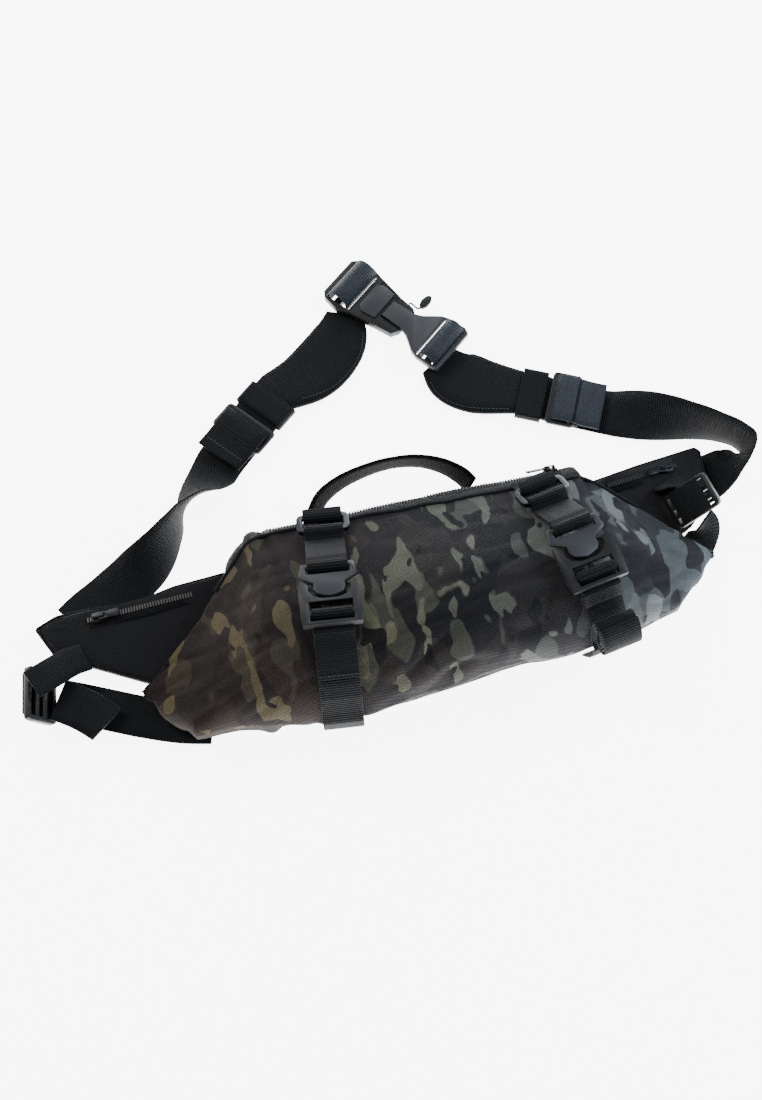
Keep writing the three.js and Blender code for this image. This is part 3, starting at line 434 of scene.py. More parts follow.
weave_bump(camo_cloth, shader, 0.0013, 0.0013, 0.5, place)

# Plain black nylon, the same cloth unprinted.
black_cloth, shader = finish_of("black_woven_nylon", Roughness=0.8, Sheen_Weight=0.03, Sheen_Roughness=0.45)
shader.inputs["Specular IOR Level"].default_value = 0.12
place = speckled(black_cloth, shader, 700, "0a0a0c", "1b1b1e", Detail=3)[0]
weave_bump(black_cloth, shader, 0.0012, 0.0012, 0.6, place)


def evenly(points, count):
    """`count` points evenly spaced along a line of straight stretches."""
    points = np.array(points, float)
    along = np.concatenate([[0], np.cumsum(np.linalg.norm(np.diff(points, axis=0), axis=1))])
    wanted = np.linspace(0, along[-1], count)
    return list(zip(*[np.interp(wanted, along, points[:, k]) for k in range(points.shape[1])]))


STATIONS = [mix(-211, 214, 0.5 - math.cos(math.pi * i / 240) / 2) for i in range(241)]
STRIP, FRONT, TOP = 5, 84, 18
shell_points = []
for x in STATIONS:
    outline = slice_at(x)
    # the belly's seam lies where the second stretch reaches its height
    foot, knee, first = outline[0], outline[1], outline[2]
    part = min(0.95, max(0.05, (BELLY_Z - knee[1]) / (first[1] - knee[1])))
    seam_at = (mix(knee[0], first[0], part), mix(knee[1], first[1], part))
    ring = evenly([foot, knee, seam_at], STRIP + 1)[:-1]
    ring += evenly([seam_at, *outline[2:63]], FRONT + 1)[:-1]
    ring += evenly(outline[62:], TOP + 1)
    shell_points += [Vector((x, y, z)) for y, z in ring]
ACROSS = STRIP + FRONT + TOP + 1
shell_faces = [
    (r * ACROSS + c, (r + 1) * ACROSS + c, (r + 1) * ACROSS + c + 1, r * ACROSS + c + 1)
    for r in range(len(STATIONS) - 1) for c in range(ACROSS - 1)
]
flat_shell = surface("flat_shell", shell_points, shell_faces)
cut_cloth = [(p + v.normal * crease(*p)) * MM for p, v in zip(shell_points, flat_shell.vertices)]
bpy.data.meshes.remove(flat_shell)


def panel(name, chosen):
    """The sheet of those shell faces, by row and column, that `chosen` picks."""
    kept = [f for i, f in enumerate(shell_faces) if chosen(*divmod(i, ACROSS - 1))]
    used = sorted({v for f in kept for v in f})
    place_of = {v: i for i, v in enumerate(used)}
    return surface(name, [cut_cloth[v] for v in used], [[place_of[v] for v in f] for f in kept])


def thickened(obj):
    """Gives a sheet the cloth's thickness, inwards."""
    inward = obj.modifiers.new("cloth", "SOLIDIFY")
    inward.thickness = CLOTH_THICK * MM
    inward.offset = -1


def strip_top(x):
    """First column of the print above the bottom strip."""
    return STRIP + round(3 * smooth_step(x, -60, -10) * (1 - smooth_step(x, 40, 100)))


def print_end(x):
    """First column of the black strip above the print, which widens to the right."""
    return STRIP + FRONT - round(3.4 * smooth_step(x, -110, 90) * (1 - smooth_step(x, 128, 150)))


def is_strip(row, column):
    x = STATIONS[row]
    return column < strip_top(x) and on_seam(SEAM_LEFT, -92) < x < on_seam(SEAM_RIGHT, -88)


def is_top(row, column):
    return column >= print_end(STATIONS[row])


PROUD = Vector((0, 0.0004, 0.0004))
front = shown(
    "front_cloth", panel("front_cloth", lambda r, c: not is_strip(r, c) and not is_top(r, c)),
    camo_cloth, ("front_panel", "left_side_panel", "right_side_panel"),
)
thickened(front)
for name, chosen, replaced in (
    ("bottom_cloth", is_strip, ("bottom_panel",)), ("top_cloth", is_top, ("top_panel", "main_zip")),
):
    thickened(shown(name, panel(name, chosen), black_cloth, replaced))


def tube(name, path, radius, sides=8):
    """A round cord along `path`, in metres."""
    points, faces = [], []
    for i, p in enumerate(path):
        p = Vector(p)
        tangent = (Vector(path[min(i + 1, len(path) - 1)]) - Vector(path[max(i - 1, 0)])).normalized()
        side = tangent.cross(Vector((0, 0, 1)))
        side = side.normalized() if side.length > 1e-4 else Vector((1, 0, 0))
        face = side.cross(tangent)
        for k in range(sides):
            angle = 2 * math.pi * k / sides
            points.append(p + (side * math.cos(angle) + face * math.sin(angle)) * radius)
    for i in range(len(path) - 1):
        for k in range(sides):
            a, b = i * sides + k, i * sides + (k + 1) % sides
            faces.append((a, b, b + sides, a + sides))
    faces.append(tuple(range(sides))[::-1])
    faces.append(tuple((len(path) - 1) * sides + k for k in range(sides)))
    return surface(name, points, faces)


# ---- piping on the front's upper seam ----
# Black cord covered in bias tape, sewn into the seam between the print and the strip above it.
# It is eased over seven stations, so that it runs smoothly where the seam steps.

PIPING_ENDS = (-150, 172)
seam_line = [
    cut_cloth[r * ACROSS + print_end(x)] + PROUD for r, x in enumerate(STATIONS)
    if PIPING_ENDS[0] <= x <= PIPING_ENDS[1]
]
rim_cord = []
for i in range(len(seam_line)):
    near = seam_line[max(i - 3, 0):i + 4]
    rim_cord.append(sum(near, Vector()) / len(near))
shown("front_piping", tube("front_piping", rim_cord, 0.0016), black_cloth, (), "bag")

# ---- padded back ----
# Spacer mesh over foam, pressed into three cushions with channels between them; its outer face
# lies flat at Z = 0. Stitched to the shell all round.

# Spacer mesh: round holes on a 3.3 mm net, matt and dark.
spacer, shader = finish_of("spacer_mesh", Roughness=0.95, Sheen_Weight=0.2)
place = add_node(spacer, "TexCoord").outputs["Object"]
holes = add_node(spacer, "TexVoronoi", {"Vector": place}, Scale=300, Randomness=0.15)
tone = add_node(spacer, "ValToRGB", {"Fac": holes.outputs["Distance"]})
tone.color_ramp.elements[0].color = linear("060607")
tone.color_ramp.elements[1].color = linear("232327")
tone.color_ramp.elements[1].position = 0.5
spacer.node_tree.links.new(tone.outputs["Color"], shader.inputs["Base Color"])
dents = add_node(spacer, "Bump", {"Height": holes.outputs["Distance"]}, Strength=0.6, Distance=0.001)
spacer.node_tree.links.new(dents.outputs["Normal"], shader.inputs["Normal"])


def facing_out(mesh):
    """Turns every face of a closed mesh outwards."""
    solid = bmesh.new()
    solid.from_mesh(mesh)
    bmesh.ops.recalc_face_normals(solid, faces=solid.faces)
    solid.to_mesh(mesh)
    solid.free()
    return mesh


def slab(name, corners, low, high):
    """A flat plate on four corners given anticlockwise, between two heights, in metres."""
    return surface(
        name, [(*c, z) for z in (low, high) for c in corners],
        [(3, 2, 1, 0), (4, 5, 6, 7), (0, 1, 5, 4), (1, 2, 6, 5), (2, 3, 7, 6), (3, 0, 4, 7)],
    )


def pillow(name, outline, rings, shape):
    """Rings round `outline` (corners in millimetres): each is (size, height); `shape` moves a point."""
    border = evenly([*outline, outline[0]], 201)[:-1]
    middle = Vector((sum(p[0] for p in border), sum(p[1] for p in border))) / len(border)
    smooth = [
        sum((Vector(border[(i + k) % len(border)]) for k in (-2, -1, 0, 1, 2)), Vector((0, 0))) / 5
        for i in range(len(border))
    ]
    points, faces = [], []
    for size, height in rings:
        for p in smooth:
            q = middle + (p - middle) * size
            points.append(Vector(shape(q.x, q.y, height, size)) * MM)
    count = len(smooth)
    for r in range(len(rings) - 1):
        for c in range(count):
            a, b = r * count + c, r * count + (c + 1) % count
            faces.append((a, b, b + count, a + count))
    for end, flip in ((0, True), (len(rings) - 1, False)):
        centre = len(points)
        points.append(sum(points[end * count:end * count + count], Vector()) / count)
        for c in range(count):
            a, b = end * count + c, end * count + (c + 1) % count
            faces.append((b, a, centre) if flip else (a, b, centre))
    return facing_out(surface(name, points, faces))


WING_JOIN = (-138, 142)
BACK_MIDDLE = 2
CHANNELS = (-46, 50)
back_edge = [
    (x, on_line(LOWER_EDGE, x) + 9 + 24 * abs((x - BACK_MIDDLE) / 140) ** 3)
    for x in np.linspace(*WING_JOIN, 30)
]
back_edge += [
    (x, zip_line(x) + 17.5 - 22 * (max(0, abs(x - BACK_MIDDLE) - 112) / 28) ** 2)
    for x in np.linspace(*WING_JOIN[::-1], 30)
]


def back_shape(x, y, height, size):
    """Presses the two air channels into the outer face."""
    channels = sum(math.exp(-((x - c) / 4.5) ** 2) for c in CHANNELS)
    if height < 2 and size < 0.97:
        return x, y, height + 2.2 * channels
    return x, y, height


back = shown(
    "back_cushion",
    pillow("back_cushion", back_edge, [
        (0.05, 0), (0.3, 0), (0.55, 0), (0.75, 0), (0.88, 0), (0.94, 0.1), (0.975, 0.9), (0.995, 2.4),
        (1, 4.6), (0.995, 6.8), (0.975, 8.4), (0.94, 9.1), (0.5, 9.1),
    ], back_shape),
    spacer, ("back_panel", "back_foam"),
)

# The flat pocket sewn on the back wall inside, in the grey lining.
lining_cloth, shader = finish_of("grey_lining", Roughness=0.8)
speckled(lining_cloth, shader, 800, "5f5d56", "7c7a72")
low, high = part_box("inner_pocket")
pocket = slab(
    "pocket_lining", [(low.x, low.y), (high.x, low.y), (high.x, high.y), (low.x, high.y)], low.z, high.z,
)
shown("pocket_lining", pocket, lining_cloth, ("inner_pocket",))

# ---- wings ----
# The hip wings: foam under the same black cloth, with a flat pocket on the front of each. They
# taper to a blunt end where the shoulder strap comes out, and are sewn to the back all along.

LEFT_WING = [
    (-136.5, 43), (-137, -54), (-176, -43), (-205, -26), (-246, -2), (-269, 11), (-279.5, 34.4),
    (-263.7, 40.2), (-247.8, 40.4), (-204.8, 36.7), (-175.3, 41.7),
]
RIGHT_WING = [
    (141, 45), (186, 50), (233, 53.5), (236, 50), (230.5, 12), (208, -8), (180, -18), (150, -40), (141, -50),
]
WING_TOP = 16.4
WING_RINGS = [
    (0.05, 2.6), (0.6, 2.6), (0.93, 2.7), (0.975, 3.6), (0.995, 5.2), (1, 8), (0.995, 11), (0.985, 13),
    (0.965, 14.6), (0.93, 15.7), (0.88, 16.2), (0.8, 16.3),
    *[(size, WING_TOP) for size in (0.7, 0.6, 0.5, 0.38, 0.25, 0.1)],
]


END_SEAMS = (-262, 223)


def wing_shape(x, y, height, size):
    """Ripples the pocket's cloth and draws it down along each wing's end seam."""
    if height < 12:
        return x, y, height
    point = Vector((x * 0.022, y * 0.035, 4))
    ripple = noise.noise(point) * 1.6 + noise.noise(point * 2.7) * 0.5
    end_seam = min(abs(x - seam) for seam in END_SEAMS)
    fall = 0.9 * math.exp(-(end_seam / 2) ** 2)
    return x, y, height + min(0.8, ripple) - fall - 0.6


for side, outline in (("left", LEFT_WING), ("right", RIGHT_WING)):
    wing = shown(
        side + "_wing_cushion", pillow(side + "_wing_cushion", outline, WING_RINGS, wing_shape), black_cloth,
        (side + "_wing", side + "_wing_pocket"),
    )
    ledge = evenly([*outline, outline[0]], 201)
    centre = Vector((sum(p[0] for p in ledge[:-1]), sum(p[1] for p in ledge[:-1]))) / 200
    cord = [((centre + (Vector(p) - centre) * 0.985) * MM).to_3d() + Vector((0, 0, 0.0128)) for p in ledge]
    piping = tube(side + "_wing_piping", cord, 0.0011)
    shown(side + "_wing_piping", piping, black_cloth, (), "bag")

# ---- stitches and zip teeth ----
# Both repeat along a line: short bars of thread, and the zip's moulded teeth.


def repeat_tree():
    """Puts a small box every `Spacing` metres along the piece's lines, turned to follow them."""
    tree = bpy.data.node_groups.new("along_a_line", "GeometryNodeTree")
    for label, kind in (
        ("Geometry", "NodeSocketGeometry"), ("Spacing", "NodeSocketFloat"), ("Size", "NodeSocketVector"),
        ("Finish", "NodeSocketMaterial"),
    ):
        tree.interface.new_socket(label, in_out="INPUT", socket_type=kind)
    tree.interface.new_socket("Geometry", in_out="OUTPUT", socket_type="NodeSocketGeometry")

    def made(kind, **links):
        node = tree.nodes.new(kind)
        for key, socket in links.items():
            tree.links.new(socket, node.inputs[key.replace("_", " ")])
        return node

    given = made("NodeGroupInput").outputs
    line = made("GeometryNodeMeshToCurve", Mesh=given["Geometry"])
    stops = made("GeometryNodeResampleCurve", Curve=line.outputs["Curve"])
    stops.mode = "LENGTH"
    tree.links.new(given["Spacing"], stops.inputs[3])
    box = made("GeometryNodeMeshCube", Size=given["Size"])
    turned = made("FunctionNodeAlignEulerToVector", Vector=made("GeometryNodeInputTangent").outputs[0])
    turned.axis = "X"
    placed = made(
        "GeometryNodeInstanceOnPoints", Points=stops.outputs["Curve"], Instance=box.outputs["Mesh"],
        Rotation=turned.outputs["Rotation"],
    )
    real = made("GeometryNodeRealizeInstances", Geometry=placed.outputs["Instances"])
    finished = made("GeometryNodeSetMaterial", Geometry=real.outputs["Geometry"], Material=given["Finish"])
    made("NodeGroupOutput", Geometry=finished.outputs["Geometry"])
    return tree


REPEAT = repeat_tree()


def repeated(name, lines, spacing, size, material, body):
    """One piece of small boxes along `lines`, each a list of points in metres."""
    points, edges = [], []
    for line in lines:
        edges += [(len(points) + i, len(points) + i + 1) for i in range(len(line) - 1)]
        points += [tuple(p) for p in line]
    wire = bpy.data.meshes.new(name)
    wire.from_pydata(points, edges, [])
    obj = bpy.data.objects.new(name, wire)
    bpy.context.scene.collection.objects.link(obj)
    growth = obj.modifiers.new("repeat", "NODES")
    growth.node_group = REPEAT
    values = {"Spacing": spacing, "Size": size, "Finish": material}
    for item in REPEAT.interface.items_tree:
        if item.in_out == "INPUT" and item.name in values:
            growth[item.identifier] = values[item.name]
    graph = bpy.context.evaluated_depsgraph_get()
    mesh = bpy.data.meshes.new_from_object(obj.evaluated_get(graph))
    obj.modifiers.clear()
    obj.data = mesh
    bpy.data.meshes.remove(wire)
    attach(obj, body)
    return obj


# Bonded nylon thread, black and slightly glossy.
thread, shader = finish_of("black_thread", Roughness=0.5)
shader.inputs["Base Color"].default_value = linear("24262a")
place = add_node(thread, "TexCoord").outputs["Object"]
grit = add_node(thread, "TexNoise", {"Vector": place}, Scale=2500)
twist = add_node(thread, "Bump", {"Height": grit.outputs["Fac"]}, Strength=0.3, Distance=0.0002)
thread.node_tree.links.new(twist.outputs["Normal"], shader.inputs["Normal"])

# Moulded acetal zip teeth, black.
acetal, shader = finish_of("moulded_zip_teeth", Roughness=0.35)
shader.inputs["Base Color"].default_value = linear("1a1b1d")
place = add_node(acetal, "TexCoord").outputs["Object"]
grit = add_node(acetal, "TexNoise", {"Vector": place}, Scale=1500)
shine = add_node(acetal, "MapRange", {"Value": grit.outputs["Fac"]})
shine.inputs["To Min"].default_value = 0.28
shine.inputs["To Max"].default_value = 0.45
acetal.node_tree.links.new(shine.outputs["Result"], shader.inputs["Roughness"])


def lifted_line(start, end, z, count=30):
    """Evenly spaced points from `start` to `end` at the height z, in metres."""
    return [
        Vector((mix(start[0], end[0], i / count), mix(start[1], end[1], i / count), z)) * MM
        for i in range(count + 1)
    ]


TAPE_HALF = 7
TAPE_LOW, TAPE_HIGH = 14.5, 16.25
main_line = [
    (cut_cloth[r * ACROSS + STRIP + FRONT + 3] + cut_cloth[r * ACROSS + STRIP + FRONT + 4]) / 2
    + PROUD for r, x in enumerate(STATIONS) if -108 < x < 124
]
repeated("main_zip_teeth", [main_line], 0.0021, (0.0012, 0.0042, 0.0016), acetal, "bag")
for side, (a, b) in (("left", ((-240, 30), (-164, 31))), ("right", ((212, 41), (158, 38)))):
    repeated(
        side + "_wing_zip_teeth", [lifted_line(a, b, 16.6)], 0.002, (0.0011, 0.0036, 0.0012), acetal,
        "bag",
    )
    flat = Vector((b[0] - a[0], b[1] - a[1])).normalized()
    aside = Vector((-flat.y, flat.x)) * TAPE_HALF
    corners = [Vector(a) + aside, Vector(a) - aside, Vector(b) - aside, Vector(b) + aside]
    tape = slab(side + "_wing_zip_tape", [c * MM for c in corners], TAPE_LOW * MM, TAPE_HIGH * MM)
    shown(side + "_wing_zip_tape", tape, black_cloth, (side + "_wing_zip",))

# ---- webbing ----
# Flat nylon webbing with a fine cross rib: 38 mm on the shoulder, 30 mm and less at the sides, 28 mm
# on the front. Each length is swept along its own path and sewn or threaded where it ends.


def webbing_finish(name, dark, light, level):
    """Ribbed webbing; the ribs are drawn at 1.7 mm, about twice the real pitch, so that they show."""
    material, shader = finish_of(name, Roughness=0.66, Sheen_Weight=0.02, Sheen_Roughness=0.4)
    shader.inputs["Specular IOR Level"].default_value = level
    place = add_node(material, "UVMap", uv_map="cloth").outputs["UV"]
    ribs = add_node(
        material, "TexWave", {"Vector": place}, wave_type="BANDS", bands_direction="Y", Scale=185,
        Distortion=0.6, Detail=1,
    )
    strands = add_node(
        material, "TexWave", {"Vector": place}, wave_type="BANDS", bands_direction="X", Scale=230,
        Distortion=0.4,
    )
    woven = add_node(
        material, "Math", {0: ribs.outputs["Fac"], 1: strands.outputs["Fac"], 2: ribs.outputs["Fac"]},
        operation="MULTIPLY_ADD",
    )
    tone = add_node(material, "ValToRGB", {"Fac": ribs.outputs["Fac"]})
    tone.color_ramp.elements[0].color = linear(dark)
    tone.color_ramp.elements[1].color = linear(light)
    material.node_tree.links.new(tone.outputs["Color"], shader.inputs["Base Color"])
    relief = add_node(material, "Bump", {"Height": woven.outputs[0]}, Strength=0.55, Distance=0.0005)
    material.node_tree.links.new(relief.outputs["Normal"], shader.inputs["Normal"])
    return material


# Black nylon webbing, matt and dyed through.
webbing = webbing_finish("black_nylon_webbing", "090a0c", "17191c", 0.1)

# The same webbing in a lighter navy: a painted blue sheen that stands in for the window light shining on it
# where it is pulled tight round a bar.
webbing_painted_sheen = webbing_finish("black_webbing_painted_blue_sheen", "0e1319", "1d2630", 0.3)


def ribbon(name, centres, sides, width, thick, closed=False):
    """Webbing along `centres` whose flat side points along `sides`; `width` is one number or a list."""
    t = thick / 2
    section = [(-1, -0.35), (-0.975, -1)] + [(s, -1) for s in (-0.5, 0, 0.5)] + [(0.975, -1), (1, -0.35)]
    section += [(-s, -f) for s, f in section]
    points, faces, uvs = [], [], []
    run = 0
    count = len(centres)
    for i, (p, side) in enumerate(zip(centres, sides)):
        before = centres[(i - 1) % count if closed else max(i - 1, 0)]
        after = centres[(i + 1) % count if closed else min(i + 1, count - 1)]
        tangent = (after - before).normalized()
        side = (side - tangent * side.dot(tangent)).normalized()
        face = side.cross(tangent)
        half = (width[i] if isinstance(width, list) else width) / 2
        if i:
            run += (p - centres[i - 1]).length
        for s, f in section:
            points.append((p + side * s * half + face * f * t) * MM)
            uvs.append((s * half * MM, run * MM))
    corners = len(section)
    for r in range(count if closed else count - 1):
        for c in range(corners):
            a, b = r * corners + c, r * corners + (c + 1) % corners
            n = ((r + 1) % count - r) * corners
            faces.append((a, b, b + n, a + n))
    if not closed:
        faces += [tuple(range(corners))[::-1], tuple((count - 1) * corners + c for c in range(corners))]
    mesh = surface(name, points, faces)
    layer = mesh.uv_layers.new(name="cloth")
    for loop in mesh.loops:
        layer.data[loop.index].uv = uvs[loop.vertex_index]
    return facing_out(mesh)


def centripetal(points, t):
    """Point of the centripetal Catmull-Rom curve through `points` at t, from 0 to 1."""
    last = len(points) - 1
    place = t * last
    k = min(int(place), last - 1)
    w = place - k
    p1, p2 = points[k], points[k + 1]
    p0 = points[k - 1] if k > 0 else p1 * 2 - p2
    p3 = points[k + 2] if k + 2 <= last else p2 * 2 - p1
    d0, d1, d2 = [max((b - a).length, 1e-6) ** 0.5 for a, b in ((p0, p1), (p1, p2), (p2, p3))]
    t1 = ((p1 - p0) / d0 - (p2 - p0) / (d0 + d1) + (p2 - p1) / d1) * d1
    t2 = ((p2 - p1) / d1 - (p3 - p1) / (d1 + d2) + (p3 - p2) / d2) * d1
    return p1 + t1 * w + (p1 * -3 + p2 * 3 - t1 * 2 - t2) * w ** 2 + (p1 * 2 - p2 * 2 + t1 + t2) * w ** 3


def strap(name, stops, width, thick, steps=120, finish=webbing, body=None):
    """Webbing through stops [x, y, z, roll, heading]: roll turns the flat face, heading sets its way."""
    points = [Vector(s[:3]) for s in stops]
    edges = []
    for i, stop in enumerate(stops):
        before, after = stops[max(i - 1, 0)], stops[min(i + 1, len(stops) - 1)]
        if len(stop) > 4:
            flat = Vector((math.cos(math.radians(stop[4])), math.sin(math.radians(stop[4])), 0))
        else:
            flat = Vector((after[1] - before[1], before[0] - after[0], 0)).normalized()
        roll = math.radians(stop[3] if len(stop) > 3 else 0)
        edges.append(flat * math.cos(roll) + Vector((0, 0, math.sin(roll))))
    centres, sides = [], []
    for i in range(steps + 1):
        t = i / steps
        k = min(int(t * (len(stops) - 1)), len(stops) - 2)
        centres.append(centripetal(points, t))
        sides.append(edges[k].lerp(edges[k + 1], t * (len(stops) - 1) - k))
    mesh = ribbon(name, centres, sides, width, thick)
    shown(name + "_band", mesh, finish, () if body else (name,), body)


STRAP_WIDTH = 38
STRAP_THICK = 1.6
WEB_WIDTH = 28
WEB_THICK = 1.4
SIDE_WEB_WIDTH = 30
DOUBLED = 3.8
KEEPER_Z = 4.4
GLIDE_Z = 6.9

# The handle's webbing is coloured darker than the other straps: painted shade that holds back the floor's
# glow on its face.
strap("grab_handle", [
    (-66, 65, 14, -60), (-62, 72, 15, -64), (-55, 81, 17, -70), (-40, 90, 17, -78), (-16, 96, 17, -86),
    (6, 97, 17, -90), (26, 93, 17, -86), (43, 84, 16, -76), (54, 73.5, 14, -64), (58, 65, 14, -60),
], 17, 2.2, 70, webbing_finish("black_webbing_painted_shade", "040405", "0a0a0b", 0.04))


def standing(stops):
    """Keeps the lower edge of a strap that stands at (x, y, roll) just off the ground."""
    return [(x, y, 1.2 + 19.6 * abs(math.sin(math.radians(roll))), roll) for x, y, roll in stops]


def line_from(centre, aim):
    """A function for points at (distance along `aim`, height) from `centre`, and the direction."""
    along = Vector((*aim, 0)).normalized()
    return lambda s, z=0: (centre[0] + along.x * s, centre[1] + along.y * s, z), along


left_at, left_along = line_from((-98, 159), (0.78, 0.62))
right_at, right_along = line_from((150, 121), (-0.885, 0.465))
BUCKLE_TURN = math.radians(-52)
buckle_along = Vector((math.cos(BUCKLE_TURN), math.sin(BUCKLE_TURN), 0))
buckle_across = Vector((0, 0, 1)).cross(buckle_along)
BUCKLE_PLACE = Vector((46, 222, 0))


def on_buckle(a, b, z):
    """A place a along the buckle and b across it."""
    p = BUCKLE_PLACE + buckle_along * a + buckle_across * b
    return p.x, p.y, z


strap("left_strap", standing([
    (-252, 34, 0), (-241.5, 41.1, 0), (-226, 48.5, -3), (-204.7, 57, -20), (-189.1, 65, -43),
    (-176.3, 75, -63), (-167.5, 84, -76), (-159.4, 93.4, -90), (-150, 104, -116), (-141, 114, -146),
    (-130, 127, -172), (-121, 139, -180), (*left_at(-8)[:2], -180),
]), STRAP_WIDTH, STRAP_THICK, 160)
strap("right_strap", standing([
    (214, 27, 0), (231, 29.5, 0), (243, 31.5, 14), (253, 33, 38), (263, 36, 66), (270.5, 42, 88),
    (266, 52, 90), (252, 63, 84), (234, 73.5, 70), (213, 85, 46), (196, 95, 22), (182, 103.5, 4),
    (172, 109, 0),
    (*right_at(-8)[:2], 0),
]), STRAP_WIDTH, STRAP_THICK, 160)


def doubled(side, at, along, keeper_end, near, far):
    """The doubled length from under the slider to the buckle, between its `near` and `far` edges."""
    across = along.cross(Vector((0, 0, 1)))
    pairs = []
    for s in np.linspace(-15, keeper_end, 26):
        middle = Vector(at(s, float(np.interp(s, (-15, 10, 17), (3.4, 2.6, KEEPER_Z)))))
        pairs.append((middle - across * STRAP_WIDTH / 2, middle + across * STRAP_WIDTH / 2))
    edges = []
    for start, rest in zip(pairs[-1], (near, far)):
        points = [start, *[Vector((*p, 0)) for p in rest]]
        edges.append(evenly([tuple(centripetal(points, t))[:2] for t in np.linspace(0, 1, 60)], 71))
    for i in range(1, 71):
        z = mix(KEEPER_Z, 2.4, min(1, i / 28))
        pairs.append(tuple(Vector((*edge[i], z)) for edge in edges))
    centres = [(a + b) / 2 for a, b in pairs]
    sides = [(b - a).normalized() for a, b in pairs]
    widths = [(b - a).length for a, b in pairs]
    mesh = ribbon(side + "_strap_upper", centres, sides, widths, DOUBLED)
    shown(side + "_strap_upper_band", mesh, webbing, (side + "_strap_upper",))
    return [
        [(c + d * k * (w / 2 - 2.5) + Vector((0, 0, DOUBLED / 2 + 0.05))) * MM
         for c, d, w in list(zip(centres, sides, widths))[30:-10]] for k in (-1, 1)
    ]


edge_stitches = doubled(
    "left", left_at, left_along, 43, [(-58, 210), (-34, 227), (-9, 251)],
    [(-20, 177), (4.4, 196.5), (13.5, 214), (15, 234)],
)
edge_stitches += doubled(
    "right", right_at, right_along, 35, [(70, 135.5), (55, 150), (50, 174)], [(104, 173), (79, 190)],
)

strap("left_side_anchor", [
    (-246, 3, 17.8, 0), (-256, 0, 23, 6), (-270, -8, 31.5, 10), (-283, -14, 35.4, 4),
], 22, STRAP_THICK, 30)
strap("left_side_webbing", [
    (-168, -66, 12.6, 0), (-188, -59.5, 9, 0), (-214, -48, 6.2, 0), (-238, -36, 5.6, 0), (-258, -26, 5.6, 0),
    (-270, -20.5, 6.4, 0),
], SIDE_WEB_WIDTH, STRAP_THICK, 60)
strap("left_side_tail", [
    (-270, -24, 19.5, 0), (-262, -29, 18.5, 0), (-252, -36.5, 15.5, 4), (-243.5, -45, 14.5, 8),
    (-240, -49, 16.5, 8),
], SIDE_WEB_WIDTH, STRAP_THICK, 40)
strap("right_side_anchor", [
    (199, 29.5, 17.9, 0), (200.5, 26, 21, 18), (203, 21.6, 26, 36), (204.6, 18.6, 30, 46),
], SIDE_WEB_WIDTH - 6, STRAP_THICK, 30)
strap("right_side_webbing", [
    (212, -12.5, 33, 46), (213, -16.5, 26, 34), (209.5, -22, 16.4, 10), (202, -30, 12, 3),
    (190, -41, 10.5, 0), (178, -51, 10.5, 0),
], SIDE_WEB_WIDTH - 6, STRAP_THICK, 50)


# Each side strap's webbing lies behind its lock's bars.
for side, centre, along, across, heading, roll, width in (
    ("left", (-281.5, -18, 19.5), (-0.52, 0.1, 0.85), (0.13, 0.99, 0), 82.5, 0, 30),
    ("right", (208, 4, 34.5), (0.2, -0.97, -0.1), (0.62, 0.14, 0.77), 12.7, 50.6, 26),
):
    centre, along, across = Vector(centre), Vector(along), Vector(across)
    behind = across.cross(along).normalized() * -3.3
    stops = [(*(centre + along * a + behind), roll, heading) for a in (-13, -6, 0, 6, 13)]
    strap(side + "_lock_webbing", stops, width, STRAP_THICK, 20, body="bag")


def arc(cx, cz, radius, start, end, parts):
    """Points round a circle from one angle to another, in degrees."""
    return [
        (cx + radius * math.cos(math.radians(mix(start, end, i / parts))),
         cz + radius * math.sin(math.radians(mix(start, end, i / parts)))) for i in range(parts + 1)
    ]


def band(name, path, start, down, width, thick=WEB_THICK, closed=False, smooth=3, finish=webbing, body=None):
    """Webbing seen edge-on: `path` holds (s, z) points in the upright plane from `start` along `down`."""
    across = down.cross(Vector((0, 0, 1)))
    line = evenly([*path, path[0]] if closed else path, len(path) * smooth)
    if closed:
        line = line[:-1]
    centres = [Vector((start[0] + down.x * s, start[1] + down.y * s, z)) for s, z in line]
    mesh = ribbon(name, centres, [across] * len(centres), width, thick, closed)
    shown(name + "_band", mesh, finish, () if body else (name,), body)


def bar_loop(name, slots, height):
    """Webbing through both slots of a buckle half, over the bar between them."""
    middle, radius = (slots[0] + slots[1]) / 2, (slots[1] - slots[0]) / 2
    path = [(slots[0] + 1, 4.7), *arc(middle, height - radius, radius, 180, 0, 18), (slots[1] - 1, 4.7)]
    width = STRAP_WIDTH + 1.6
    # the loop over the bar is coloured with the painted blue sheen
    band(name, path, BUCKLE_PLACE, buckle_along, width, STRAP_THICK, finish=webbing_painted_sheen)


